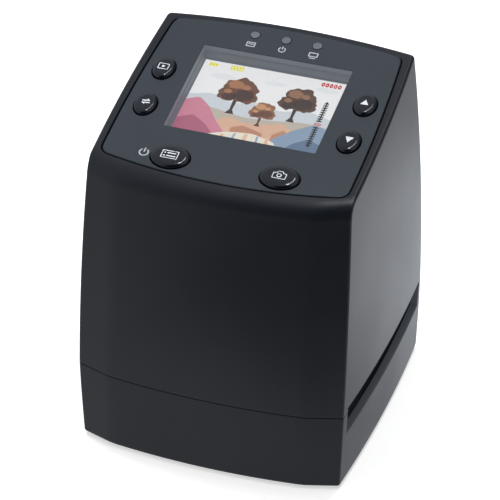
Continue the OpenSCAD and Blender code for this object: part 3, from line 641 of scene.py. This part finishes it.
SATIN = (0.0070, 0.0088, 0.0138)
FRAME_TONE = (0.055, 0.06, 0.07)
BLACK = plastic("satin_black", SATIN, 0.34, 0.22, 0.012, level=0.32)
BASE_BLACK = plastic("satin_black_base", SATIN, 0.36, 0.22, 0.012, level=0.28)
PANEL = plastic("slate_panel", (0.0252, 0.0314, 0.0422), 0.42, 0.16, 0.01, vary=0.06, level=0.3)
CAP = plastic("gloss_black_caps", (0.0035, 0.005, 0.0105), 0.12, 0.4, 0.004, level=0.44)
PRINT = plastic("white_print", srgb(220, 225, 232), 0.5, 0.3, 0.002, vary=0.04)
PRINT_DIM = plastic("grey_print", srgb(180, 184, 189), 0.5, 0.3, 0.002, vary=0.05)
LAMP = plastic("lamp_grey", srgb(90, 94, 100), 0.3, 0.5, 0.004, coat=0.2)

# Painted light: these materials glow faintly to lift the shade in narrow places and under the plate, for
# the light that bounces about in them
GUIDE_BLACK_PAINTED_GLOW = plastic("guide_black_painted_glow", (0.014, 0.016, 0.025), 0.5, 0.2, 0.015, glow=(0.0045, 0.0048, 0.0056))
# Painted light: the slot's faces are a lighter grey than the satin black and glow, which lifts the slot's
# shade
SLOT_PAINTED_LIGHT = plastic("slot_painted_light", (0.040, 0.045, 0.053), 0.5, 0.2, 0.015, glow=(0.029, 0.032, 0.038))
# Painted light: the display's grey glows so that its border, in the plate's shade, keeps the frame's tone
DISPLAY_GREY_PAINTED_GLOW = plastic("display_grey_painted_glow", FRAME_TONE, 0.5, 0.2, 0.01, vary=0.05, glow=(0.122, 0.136, 0.158))
# Painted light: the frame's grey glows evenly, and more on faces in the plate's shade, so its brightness
# hardly depends on how light falls
FRAME_GREY_PAINTED_GLOW = plastic("frame_grey", FRAME_TONE, 0.5, 0.2, 0.01, vary=0.05, glow=(0.102, 0.114, 0.133))
paint_glow_in_plate_shade(FRAME_GREY_PAINTED_GLOW, 1.45)
PANE = clear_pane("clear_pane")

RUBBER = plastic("rubber", (0.02, 0.02, 0.021), 0.8, 0.3, 0.04)
WHITE = plastic("white_plastic", (0.7, 0.7, 0.68), 0.4)
BOARD = plastic("circuit_board", (0.01, 0.09, 0.03), 0.4, 0.5, 0.01)
CHIP = plastic("chip_black", (0.015, 0.015, 0.016), 0.45, 0.2, 0.01)
RED = plastic("red_plunger", (0.2, 0.035, 0.025), 0.4)
STEEL = metal("steel", (0.5, 0.5, 0.51), 0.35)
TIN = metal("tinned_shell", (0.6, 0.61, 0.62), 0.28)
BLUE_LEAD = plastic("lead_blue", (0.03, 0.07, 0.25), 0.45)
RIBBON = plastic("ribbon_tan", (0.35, 0.22, 0.1), 0.4)
LED = plastic("led_yellow", (0.55, 0.5, 0.25), 0.3)
LENS = lens_glass("lens_glass_look")


# ---- upper housing ----
def slot_cutter(top=SLOT_Z + SLOT_H):
    """The film slot, right through from side to side."""
    return box("slot", (-FAR, SLOT_Y - SLOT_W / 2, SLOT_Z), (FAR, SLOT_Y + SLOT_W / 2, top))


def upper_shell():
    """Outer form of the upper housing: lip at the seam, swept walls and the round edges of the top."""
    walls = Walls(UPPER_LEANS)
    low = SEAM + SEAM_HALF_GAP
    rings = [tilted_ring(walls, low + rise * SEAM_LIP, 0.0, (draw * SEAM_LIP,) * 3)
             for rise, draw in ((0.0, 1.0), (0.3, 0.3), (1.0, 0.0))]
    start, end = np.array([low + SEAM_LIP, 0.0]), np.array(panel_plane(WALLS_TOP))
    rings += [tilted_ring(walls, *(start + (end - start) * t)) for t in np.linspace(0, 1, 44)[1:]]
    heights = [BLEND_R * (math.sin(t) - 1) for t in np.radians(np.linspace(25, 66, 12))]
    heights += [RIM_R * (math.sin(t) - 1) for t in np.radians(np.linspace(12, 90, 11))]
    for n in sorted(heights):
        front = round_off(n, BLEND_R, FRONT_TILT)
        side = round_off(n, RIM_R, SIDE_TILT)
        rear = round_off(n, RIM_R, REAR_TILT)
        rings.append(tilted_ring(walls, *panel_plane(n), (front, side, rear)))
    return loft("housing_shell", rings)


def upper_cavity():
    """The hollow of the upper housing, up to the inside of its roof."""
    start, end = np.array([SEAM - 1, 0.0]), np.array(panel_plane(ROOF))
    planes = [start + (end - start) * t for t in np.linspace(0, 1, 14)]
    return coarse_form("cavity", Walls(UPPER_LEANS, WALL), planes)


def recess_cutter():
    """The recess of the plate: its gap and the soft lip at its mouth, as growths and heights."""
    profile = ((0.35, -PLATE_T), (0.35, -0.45), (0.42, -0.2), (0.5, -0.06), (0.58, 0.0), (0.58, 2.0))
    return panel_loft("recess", [(plate_loop(grow), n) for grow, n in profile])


def through_panel(loop, low=CUT_LOW, top=CUT_TOP):
    """A cutter with straight walls, square to the panel."""
    return panel_loft("through", [(loop, low), (loop, top)])


def in_slot(centre, normal):
    """Whether a face belongs to the film slot's floor, roof or ends."""
    across, rise = abs(centre.y - SLOT_Y), abs(centre.z - SLOT_Z - SLOT_H / 2)
    end = abs(normal.y) > 0.99 and abs(across - SLOT_W / 2) < 0.05
    floor_or_roof = abs(normal.z) > 0.99 and abs(rise - SLOT_H / 2) < 0.05
    return (end or floor_or_roof) and across < SLOT_W / 2 + 0.1 and rise < SLOT_H / 2 + 0.1


def behind_plate(centre, normal):
    """Whether a face belongs to the recess's wall behind the plate."""
    v, n = panel_spot(centre)
    return normal.dot(PANEL_FORWARD) > 0.7 and 30 < v < 40 and n > -PLATE_T - 0.05


upper = upper_shell()
cutters = [upper_cavity(), recess_cutter(), through_panel(shifted(rect(*FRAME_HOLE), 0, WINDOW_V))]
cutters += [through_panel(button_outline(name, BUTTON_GAP)) for name in BUTTONS]
cutters += [through_panel(lamp_outline(u)) for u in LAMP_US]
cutters.append(slot_cutter())
cutters += [through_panel(shifted(rect(width, PORT_LENGTH), u, PORT_V), low, top)
            for u, width, low, top in PORTS.values()]
cut(upper, cutters)
bosses = [sleeve(on_panel(*spot), BOARD_BOSS_R, SMALL_HOLE_R, BOARD_BOSS_LOW, BOARD_BOSS_TOP)
          for spot in BOARD_SPOTS]
bosses += [sleeve(upright(*spot), BOSS_R, SCREW_HOLE_R, BOSS_LOW, BOSS_TOP) for spot in SCREW_SPOTS]
join(upper, bosses)
finish_piece(upper, BLACK, "upper_housing", 32)
# Painted light: the slot's faces and the recess wall behind the plate get the lighter, glowing slot
# material, which lifts their shade
paint_faces(upper, SLOT_PAINTED_LIGHT, lambda spot, normal: in_slot(spot, normal) or behind_plate(spot, normal))


# ---- base housing ----
def base_shell():
    """Outer form of the base: a round bottom edge, the walls and the lip at the seam."""
    walls = Walls(BASE_LEANS)
    rings = []
    for t in np.radians(np.linspace(0, 90, 8)):
        rise, draw = BASE_ROUND * (1 - math.cos(t)), BASE_ROUND * (1 - math.sin(t))
        rings.append(tilted_ring(walls, BASE_BOTTOM + rise, 0.0, (draw,) * 3))
    low, top = BASE_BOTTOM + BASE_ROUND, SEAM - SEAM_HALF_GAP
    rings += [tilted_ring(walls, z, 0.0) for z in np.linspace(low, top - SEAM_LIP, 16)[1:]]
    rings += [tilted_ring(walls, z, 0.0, (draw,) * 3) for z, draw in ((top - 0.02, 0.02), (top, SEAM_LIP))]
    return loft("base_shell", rings)


def tongue_ring():
    """The tongue that locates the upper housing, left out over the film slot."""
    outer, inner = Walls(BASE_LEANS, WALL + TONGUE_GAP), Walls(BASE_LEANS, WALL + TONGUE_GAP + TONGUE_T)
    tongue = coarse_form("tongue", outer, [(z, 0.0) for z in (TONGUE_LOW, SEAM, TONGUE_TOP)])
    hollow = coarse_form("tongue_hollow", inner, [(z, 0.0) for z in (24, SEAM, 32)])
    cut(tongue, [hollow, slot_cutter(32.0)])
    return tongue


base = base_shell()
levels = [(z, 0.0) for z in np.linspace(BASE_FLOOR, 30, 6)]
cutters = [coarse_form("base_cavity", Walls(BASE_LEANS, WALL), levels), slot_cutter()]
for spot in SCREW_SPOTS:
    cutters.append(upright_disc(spot, FOOT_R, -1, FOOT_DEPTH))
    cutters.append(upright_disc(spot, SCREW_BORE_R, FOOT_DEPTH - 0.1, 4))
cut(base, cutters)
POST_PROFILE = [
    (SCREW_BORE_R, POST_FOOT), (POST_R, POST_FOOT), (POST_R, POST_TOP),
    (SCREW_HOLE_R, POST_TOP), (SCREW_HOLE_R, SCREW_SEAT), (SCREW_BORE_R, SCREW_SEAT)]
posts = [lathe("post", POST_PROFILE, upright(*spot)) for spot in SCREW_SPOTS]
posts += [sleeve(upright(*spot), LIGHT_POST_R, SMALL_HOLE_R, POST_FOOT, LIGHT_POST_TOP)
          for spot in LIGHT_SPOTS]
join(base, [tongue_ring()] + posts)
finish_piece(base, BASE_BLACK, "base_housing", 32)
# Painted light: the slot's faces get the lighter, glowing slot material, which lifts their shade
paint_faces(base, SLOT_PAINTED_LIGHT, in_slot)


# ---- control panel ----
def mouth(outline):
    """Levels of a hole through the plate with a small round at its mouth; outline(grow) draws it."""
    return [(outline(0.0), -PLATE_T), (outline(0.0), -0.15), (outline(0.045), -0.045), (outline(0.15), 0.0)]


def window_outline(grow):
    return shifted(rect(WINDOW_W + 2 * grow, WINDOW_H + 2 * grow, WINDOW_R + grow, 5), 0, WINDOW_V)


def in_window(centre, _):
    """Whether a face belongs to the wall of the window."""
    v, n = panel_spot(centre)
    inside = abs(centre.x) < WINDOW_W / 2 + 0.1 and abs(v - WINDOW_V) < WINDOW_H / 2 + 0.1
    return inside and 0.05 - PLATE_T < n < -0.1


PLATE_EDGE = ((0.0, -PLATE_T), (0.0, -0.5), (-0.06, -0.25), (-0.2, -0.08), (-0.42, 0.0))
holes = [mouth(window_outline)]
holes += [mouth(lambda grow: button_outline(name, BUTTON_GAP + grow)) for name in BUTTONS]
holes += [mouth(lambda grow: lamp_outline(u, grow)) for u in LAMP_US]
plate = pierced_plate("panel_plate", [(plate_loop(grow), n) for grow, n in PLATE_EDGE], holes)
finish_piece(plate, PANEL, "control_panel", 15)
# The window's walls take the frame's grey, whose glow is painted light that evens out their shade
paint_faces(plate, FRAME_GREY_PAINTED_GLOW, in_window)


# ---- flat shapes for prints and the picture ----
def flat_shape(name, shapes, spot, n):
    """Flat shapes at height n over the panel; each is an outline or an outer and inner outline."""
    verts, faces = [], []
    for shape in shapes:
        loops = shape if isinstance(shape, tuple) else (shape,)
        first, count = len(verts), len(loops[0])
        verts += [panel_point(spot[0] + x, spot[1] + y, n) for loop in loops for x, y in loop]
        faces += skin(first, count, 2) if len(loops) == 2 else [tuple(range(first, first + count))]
    obj = make_object(name, verts, faces)
    for poly in obj.data.polygons:
        if poly.normal.dot(PANEL_UP) < 0:
            poly.flip()
    obj.data.update()
    return obj


def show_flat(obj, material, body="scanner"):
    """Puts a flat shape on its body with its material."""
    obj.data.materials.append(material)
    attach(obj, body)


# ---- buttons ----
def cap_levels(name):
    """Levels of a cap: flange under the plate, straight wall, soft shoulder and flat top."""
    wall_r = BUTTON_L / 2
    profile = [(wall_r, FLANGE_TOP), (wall_r, PROUD - SHOULDER_H - 0.3)]
    for t in np.radians(np.linspace(0, 90, 16)):
        profile.append((wall_r - SHOULDER_R * (1 - math.cos(t)), PROUD - SHOULDER_H * (1 - math.sin(t))))

    # Rings on the flat top keep its shading even
    profile += [(2.4, PROUD), (1.0, PROUD)]
    u, v, width = BUTTONS[name]
    flange = button_outline(name, FLANGE)
    levels = [(flange, FLANGE_LOW), (flange, FLANGE_TOP)]
    return levels + [(shifted(ellipse(r * width / BUTTON_L, r, 96), u, v), n) for r, n in profile]


def turn_arrow(side):
    """One of the two arrows of the turn sign; side is 1 for the upper one and -1 for the lower one."""
    shaft = bar(-1.25, 0.27, 0.5, 0.77)
    head = [(0.5, 0.27), (1.4, 0.27), (0.4, 1.3), (0.4, 0.77), (0.5, 0.77)]
    c, s = math.cos(math.radians(9)), math.sin(math.radians(9))
    return [[(0.2 + side * (x * c - y * s), 0.2 + side * (x * s + y * c)) for x, y in part]
            for part in (shaft, head)]


CAMERA_OUTER = [(-2.0, -1.4), (2.0, -1.4), (2.2, -1.2), (2.2, 0.9), (2.0, 1.1), (1.15, 1.1), (0.75, 1.85),
                (-0.75, 1.85), (-1.15, 1.1), (-2.0, 1.1), (-2.2, 0.9), (-2.2, -1.2)]
CAMERA_INNER = [(-1.86, -1.15), (1.86, -1.15), (1.95, -1.06), (1.95, 0.77), (1.87, 0.85), (0.98, 0.85),
                (0.6, 1.6), (-0.6, 1.6), (-0.98, 0.85), (-1.87, 0.85), (-1.95, 0.77), (-1.95, -1.06)]
LIST_LINES = [bar(x0, y - 0.23, x1, y + 0.23)
              for x0, x1 in ((-0.95, 1.95), (-1.95, -1.4)) for y in (-0.62, 0.62)]
ICONS = {
    "play": [frame_shape(3.5, 2.6, 0.25), [(-0.5, -0.6), (0.62, 0.0), (-0.5, 0.6)]],
    "flip": turn_arrow(1) + turn_arrow(-1),
    "up": [[(-1.37, -0.8), (1.17, -0.8), (-0.1, 1.4)]],
    "down": [[(-1.35, 1.2), (0, -1.25), (1.35, 1.2)]],
    "menu": [frame_shape(5.4, 3.3, 0.27)] + LIST_LINES,
    "capture": [(CAMERA_OUTER, CAMERA_INNER)] + moved(ring_arc(0.66, 0.3), -0.1, 0.0)}

for name, (u, v, _) in BUTTONS.items():
    finish_piece(panel_loft(name + "_cap", cap_levels(name)), CAP, name + "_button", 40, body=name)
    show_flat(flat_shape(name + "_icon", ICONS[name], (u, v), PROUD + 0.012), PRINT, name)


# ---- printed marks on the plate ----
def power_sign(r, line, stem, count):
    """A ring that is open at the top, with a stem in the gap."""
    return ring_arc(r, line, 125, 415, count) + [bar(-line / 2, 0.1, line / 2, stem)]


CAPTION_V = 29.2
card_sign = [frame_shape(3.0, 2.1, 0.36, 0.1), bar(-0.9, 0.0, 0.9, 0.34)]
screen_sign = [frame_shape(3.1, 2.0, 0.36, 0.1), bar(-0.95, -1.75, 0.95, -1.4)]
marks = moved(power_sign(1.4, 0.44, 1.9, 28), -26.4, -25.0)
marks += moved(card_sign, LAMP_US[0], CAPTION_V)
marks += moved(power_sign(1.05, 0.36, 1.45, 24), LAMP_US[1], CAPTION_V)
marks += moved(screen_sign, LAMP_US[2], CAPTION_V + 0.2)
show_flat(flat_shape("plate_marks", marks, (0, 0), 0.015), PRINT_DIM)

# ---- display picture: a plain landscape in patches, in mm from the picture's middle ----
LEFT, RIGHT, LOW, HIGH = -PICTURE_W / 2, PICTURE_W / 2, -PICTURE_H / 2, PICTURE_H / 2


def hill(*points):
    """A patch under a smooth line through (x, height) points."""
    px, py = np.array(points).T
    xs = np.linspace(px[0], px[-1], 40)
    weights = np.array([1, 2, 3, 2, 1]) / 9
    top = np.convolve(np.pad(np.interp(xs, px, py), 2, mode="edge"), weights, "valid")
    return list(zip(xs, top)) + [(px[-1], LOW), (px[0], LOW)]


def clump(x, y, a, b, seed):
    """A leafy outline with uneven lobes."""
    loop = []
    for t in np.linspace(0, 2 * math.pi, 44, endpoint=False):
        lobes = 0.07 * math.sin(5 * t + seed) + 0.05 * math.sin(8 * t + 2.3 * seed)
        lobes += 0.03 * math.sin(13 * t + 0.7 * seed)
        loop.append((x + a * (1 + lobes) * math.cos(t), y + b * (1 + lobes) * math.sin(t)))
    return loop


def autumn_tree(x, y, size, seed):
    """Trunk, crown, shade and sunlit leaves of one tree, as patches by name."""

    def leaves(dx, dy, a, b, step):
        return clump(x + dx * size, y + dy * size, a * size, b * size, seed + step)

    w = 0.75 * size
    trunk = [(-w, -3 * size), (-0.6 * w, -9 * size), (-2 * w, -11 * size),
             (2 * w, -11 * size), (0.6 * w, -9 * size), (w, -3 * size)]
    return {
        "trunk": [shifted(trunk, x, y)],
        "crown": [
            leaves(0, 0, 5.6, 5.2, 0), leaves(-3.2, -2.6, 3.4, 3.0, 1), leaves(3.4, -2.8, 3.2, 2.8, 2)],
        "shade": [leaves(1.9, -2.2, 3.3, 2.5, 3), leaves(-2.6, -3.6, 2.4, 1.6, 4)],
        "sun": [
            leaves(-2.0, 2.0, 2.5, 1.9, 5), leaves(1.6, 1.4, 1.5, 1.1, 6), leaves(-3.6, -1.4, 1.3, 1.0, 7)]}


left_tree = autumn_tree(-9.2, 7.6, 1.0, 0.4)
right_tree = autumn_tree(10.4, 8.2, 0.95, 2.1)
small_tree = autumn_tree(1.0, 0.6, 0.66, 4.0)
CLOUDS = [
    clump(-16.5, 12.0, 4.2, 1.3, 1.0), clump(17.5, 14.0, 4.0, 1.1, 3.0), clump(1.0, 13.0, 3.6, 1.0, 5.0)]
SAND_SHADES = [
    hill((-6.5, -9), (-3.2, -7.4), (1.5, -8.6), (4, -9.5)), hill((7, -9), (10, -6.4), (13.5, -9))]

# Patches from the back to the front: name, colour and shapes
PATCHES = [
    ("sky", (250, 251, 253), [bar(LEFT, LOW, RIGHT, HIGH)]),
    ("cloud", (236, 239, 243), CLOUDS),
    ("far_ridge", (212, 219, 226),
     [hill((LEFT, 2.0), (-17, 4.4), (-10, 1.0), (-2, 3.6), (6, 1.2), (14, 4.0), (RIGHT, 1.0))]),
    ("near_ridge", (196, 186, 172),
     [hill((LEFT, -1.0), (-14, -2.2), (-4, -4.0), (6, -3.0), (16, -1.4), (RIGHT, -2.4))]),
    ("trunk_left", (62, 40, 32), left_tree["trunk"]),
    ("trunk_right", (54, 38, 31), right_tree["trunk"]),
    ("crown_left", (112, 72, 50), left_tree["crown"]),
    ("crown_right", (92, 64, 48), right_tree["crown"]),
    ("shade_left", (70, 43, 33), left_tree["shade"]),
    ("shade_right", (58, 41, 33), right_tree["shade"]),
    ("sun_left", (170, 116, 78), left_tree["sun"]),
    ("sun_right", (150, 108, 80), right_tree["sun"]),
    ("sand", (226, 182, 154), [hill((-14, -9), (-9, -4.6), (-3, -6.4), (4, -5.2), (9, -3.4), (15, -8.5))]),
    ("sand_shade", (196, 140, 112), SAND_SHADES),
    ("trunk_small", (84, 54, 40), small_tree["trunk"]),
    ("crown_small", (150, 104, 72), small_tree["crown"]),
    ("shade_small", (108, 70, 50), small_tree["shade"]),
    ("sun_small", (204, 152, 112), small_tree["sun"]),
    ("heather", (212, 134, 156),
     [hill((LEFT, -0.5), (-20.5, 1.6), (-16.5, -1.5), (-12, -7.5), (-7.5, -12.5), (-5.5, LOW))]),
    ("heather_fold", (178, 98, 124),
     [hill((LEFT, -9.0), (-20, -6.5), (-15, -9.5), (-10, -14.5), (-8, LOW))]),
    ("lake", (140, 162, 186),
     [hill((4.5, LOW), (7.5, -11.0), (13, -5.5), (18.5, -1.6), (22, -2.6), (RIGHT, -4.0))]),
    ("lake_deep", (98, 122, 150), [hill((10, LOW), (14, -11.5), (18.5, -8.2), (RIGHT, -10.5))]),
    ("field", (242, 235, 218),
     [hill((-17, LOW), (-13.5, -13.8), (-7, -11.2), (1, -10.2), (8, -12.0), (13, -15.6), (15, LOW))])]

# Furrows of the field: colour, place and width
FURROWS = [
    ((150, 174, 200), -12.0, 1.0),
    ((236, 190, 150), -8.6, 1.5),
    ((156, 180, 204), -4.6, 1.0),
    ((238, 196, 158), -0.8, 1.6),
    ((152, 176, 200), 3.2, 1.0),
    ((236, 192, 154), 6.6, 1.4),
    ((150, 172, 196), 10.0, 0.9)]


def furrow(x, w):
    """A furrow that narrows towards the top of the field."""
    top = -10.8 - 0.022 * (x - 0.5) ** 2
    foot, tip = w / 2, w * 0.34
    return [(x * 1.12 - foot, LOW), (x * 1.12 + foot, LOW), (x * 0.92 + tip, top), (x * 0.92 - tip, top)]


def picture_piece(name, colour, shapes, rise, strength=0.99):
    """A lit patch of the picture, by its rise over the display's face."""
    obj = flat_shape("picture_" + name, shapes, (0, WINDOW_V), PICTURE_N + rise)
    show_flat(obj, glowing("picture_" + name + "_light", srgb(*colour), strength))


for layer, (name, colour, shapes) in enumerate(PATCHES):
    picture_piece(name, colour, shapes, 0.03 + 0.006 * layer)
for k, (colour, x, width) in enumerate(FURROWS):
    picture_piece("stripe_%d" % k, colour, [furrow(x, width)], 0.03 + 0.006 * len(PATCHES))


# ---- status signs over the picture ----
def small_zero(x, y, w, h, line):
    """The outer and inner outline of a small zero."""
    k = 1 - 2 * line / w
    return tuple(shifted(ellipse(w / 2 * scale, h / 2 * scale, 16), x, y) for scale in (1, k))


def show_sign(name, colour, shapes):
    picture_piece(name, colour, shapes, 0.19, 0.95)


badges = [bar(LEFT + 1.9 + k, HIGH - 2.5, LEFT + 2.75 + k, HIGH - 1.2) for k in range(3)]
badges += moved([frame_shape(4.2, 2.0, 0.42, 0.1)], LEFT + 11.2, HIGH - 1.8)
badges += [bar(LEFT + 9.9 + k * 0.95, HIGH - 2.3, LEFT + 10.55 + k * 0.95, HIGH - 1.3) for k in range(3)]
show_sign("yellow", (246, 240, 10), badges)
zeros = [small_zero(RIGHT - 9.0 + k * 1.36, HIGH - 2.0, 1.16, 1.9, 0.38) for k in range(5)]
show_sign("red", (200, 24, 28), zeros)

# A scale with rungs, a stem, a tip at each end and a mark in its middle, where two rungs are left out
SCALE_X = RIGHT - 5.2
scale = [bar(-0.85, k - 10.0, 0.85, k - 9.45) for k in range(18) if k not in (8, 9)]
scale += [bar(-0.2, -10.4, 0.2, -2.2), bar(-0.2, -0.2, 0.2, 8.0)]
scale += [[(-0.9, 8.0), (0.9, 8.0), (0, 9.2)], [(-0.9, -10.4), (0, -11.6), (0.9, -10.4)]]
show_sign("scale", (26, 24, 24), moved(scale, SCALE_X, 0))
middle = [bar(-1.2, y, 1.2, y + 0.35) for y in (-1.7, -1.05)]
show_sign("scale_middle", (206, 40, 44), moved(middle, SCALE_X, 0))

# ---- pieces that keep the CAD model's mesh ----
LOOKS = {
    PANE: ["display_window"],
    FRAME_GREY_PAINTED_GLOW: ["lcd_frame"],
    DISPLAY_GREY_PAINTED_GLOW: ["lcd_panel"],
    LAMP: ["card_lamp", "power_lamp", "pc_lamp"],
    GUIDE_BLACK_PAINTED_GLOW: ["film_track", "film_gate", "light_tunnel", "lens_holder", "lens_barrel"],
    RUBBER: ["rubber_feet"],
    STEEL: ["housing_screws", "board_screws", "tunnel_screws", "backlight_screws"],
    TIN: ["usb_socket", "card_socket"],
    BOARD: ["main_board", "sensor_board", "backlight_board"],
    CHIP: ["processor_chip", "memory_chip", "image_sensor", "switch_bodies"],
    LED: ["lamp_leds", "backlight_leds"],
    WHITE: ["diffuser", "light_box", "ribbon_connectors"],
    LENS: ["lens_glass"],
    RIBBON: ["sensor_ribbon"],
    BLUE_LEAD: ["backlight_lead"],
    RED: [name + "_plunger" for name in BUTTONS]}
for look, names in LOOKS.items():
    for name in names:
        nodes[name].data.materials.clear()
        nodes[name].data.materials.append(look)

# ---- studio, in metres ----
TENT_COLOUR = (0.95, 0.99, 1.05, 1)


def combine(tree, operation, a, b):
    """The number that an operation on two numbers gives."""
    node = tree.nodes.new("ShaderNodeMath")
    node.operation = operation
    feed(tree, node, {0: a, 1: b})
    return node.outputs["Value"]


def pool(tree, place, centre, radii, levels):
    """A level that runs from the first to the second between two distances from a spot on the floor."""
    distance = vector_math(tree, "DISTANCE", place, (*centre, 0))
    return map_range(tree, distance, radii, levels, "SMOOTHSTEP")


def lobe(tree, gaze, direction, angles, levels):
    """A level that runs from the first to the second between two angles in degrees from a direction."""
    limits = [math.cos(math.radians(angle)) for angle in angles]
    return map_range(tree, vector_math(tree, "DOT_PRODUCT", gaze, direction), limits, levels, "SMOOTHSTEP")


def pale_floor():
    """Pale paper; what glossy surfaces see of it has softly darker and brighter spots."""
    mat, tree, bsdf = new_material("pale_floor")
    feed(tree, bsdf, {
        "Base Color": (0.9, 0.9, 0.9, 1),
        "Roughness": 0.9,
        "Specular IOR Level": 0.0,
        "Emission Color": (1, 1, 1, 1),
        "Emission Strength": 0.55})
    place = tree.nodes.new("ShaderNodeTexCoord").outputs["Object"]
    level = pool(tree, place, (0.0, 0.0), (0.26, 0.6), (0.75, 0.6))
    for operation, centre, radii, levels in (
            ("MULTIPLY", (0.08, -0.30), (0.125, 0.25), (0.11, 1.0)),
            ("MULTIPLY", (0.20, -0.80), (0.2, 0.5), (0.35, 1.0)),
            ("ADD", (0.078, 0.112), (0.02, 0.125), (0.68, 0.0)),
            ("ADD", (-0.005, -0.12), (0.01, 0.09), (0.22, 0.0))):
        level = combine(tree, operation, level, pool(tree, place, centre, radii, levels))
    paper = shader_node(tree, "ShaderNodeEmission", {"Color": TENT_COLOUR, "Strength": level})
    glossy = tree.nodes.new("ShaderNodeLightPath").outputs["Is Glossy Ray"]
    shaders = {"Fac": glossy, 1: bsdf.outputs["BSDF"], 2: paper.outputs["Emission"]}
    mix = shader_node(tree, "ShaderNodeMixShader", shaders)
    feed(tree, tree.nodes["Material Output"], {"Surface": mix.outputs["Shader"]})
    return mat


def studio_world():
    """White surroundings; glossy surfaces see a light tent in them, fixed in space, with a dark opening."""
    world = bpy.data.worlds.new("studio")
    bpy.context.scene.world = world
    world.use_nodes = True
    tree = world.node_tree
    gaze = tree.nodes.new("ShaderNodeTexCoord").outputs["Generated"]
    level = lobe(tree, gaze, (0.298, -0.919, 0.259), (58, 14), (0.72, 0.18))
    opening = lobe(tree, gaze, (0.2095, -0.840, 0.50), (34, 29), (1.0, 0.0))
    rear_corner = lobe(tree, gaze, (0.60, 0.79, 0.10), (42, 26), (1.0, 0.35))
    level = combine(tree, "MULTIPLY", combine(tree, "MULTIPLY", level, opening), rear_corner)
    around = tree.nodes["Background"]
    feed(tree, around, {"Color": (1.0, 1.0, 1.0, 1), "Strength": 0.15})
    tent = shader_node(tree, "ShaderNodeBackground", {"Color": TENT_COLOUR, "Strength": level})
    behind = shader_node(tree, "ShaderNodeBackground", {"Color": (1.0, 1.0, 1.0, 1), "Strength": 1.05})
    rays = tree.nodes.new("ShaderNodeLightPath").outputs
    shown = around
    for ray, seen in (("Is Glossy Ray", tent), ("Is Camera Ray", behind)):
        shaders = {"Fac": rays[ray], 1: shown.outputs[0], 2: seen.outputs[0]}
        shown = shader_node(tree, "ShaderNodeMixShader", shaders)
    feed(tree, tree.nodes["World Output"], {"Surface": shown.outputs["Shader"]})


def area(name, place, target, size, power, glossy=False, colour=(1.0, 1.0, 1.0)):
    """A soft light; glossy surfaces reflect it only where glossy is set."""
    data = bpy.data.lights.new(name, "AREA")
    data.shape = "RECTANGLE"
    data.size, data.size_y = size
    data.energy = power
    data.color = colour
    obj = bpy.data.objects.new(name, data)
    bpy.context.scene.collection.objects.link(obj)
    obj.location = place
    obj.rotation_euler = (Vector(target) - Vector(place)).to_track_quat("-Z", "Y").to_euler()
    obj.visible_glossy = glossy


floor = make_object("floor", [(x, y, -1e-4) for x, y in bar(-3, -3, 3, 3)], [(0, 1, 2, 3)], 1.0)
floor.data.materials.append(pale_floor())
studio_world()
area("strip", (0.115, 0.21, 1.0), (0.115, 0.21, 0.0), (0.05, 0.48), 1.7, glossy=True)
area("strip_end", (0.10, -0.11, 1.0), (0.10, -0.11, 0.0), (0.1, 0.11), 1.5, glossy=True)
area("key", (-0.28, 0.16, 0.95), (0, 0, 0.05), (0.3, 0.3), 3.6)
area("overhead", (-0.25, 0.35, 1.0), (0, 0, 0.05), (1.6, 1.6), 5.5, colour=(0.96, 0.99, 1.04))
area("front_left", (-0.9, -1.0, 0.75), (0, 0, 0.08), (1.2, 0.9), 3.0)

# ---- camera: place and turn as fitted to the photograph's edges ----
EYE = Vector((0.26509, -0.76505, 0.57049))
BACK = Vector((0.27768, -0.79671, 0.53680)).normalized()
LEVEL = Vector((0.94427, 0.32918, 0.0)).normalized()
ROLL = math.radians(0.68)

view = bpy.data.cameras.new("camera")
view.lens = 216.0
view.sensor_width = 36.0
view.clip_start = 0.05
camera = bpy.data.objects.new("camera", view)
bpy.context.scene.collection.objects.link(camera)
rightward = math.cos(ROLL) * LEVEL + math.sin(ROLL) * BACK.cross(LEVEL)
turned = Matrix((rightward, BACK.cross(rightward), BACK)).transposed()
camera.matrix_world = Matrix.Translation(EYE) @ turned.to_4x4()
bpy.context.scene.camera = camera
bpy.context.scene.view_settings.view_transform = "Standard"
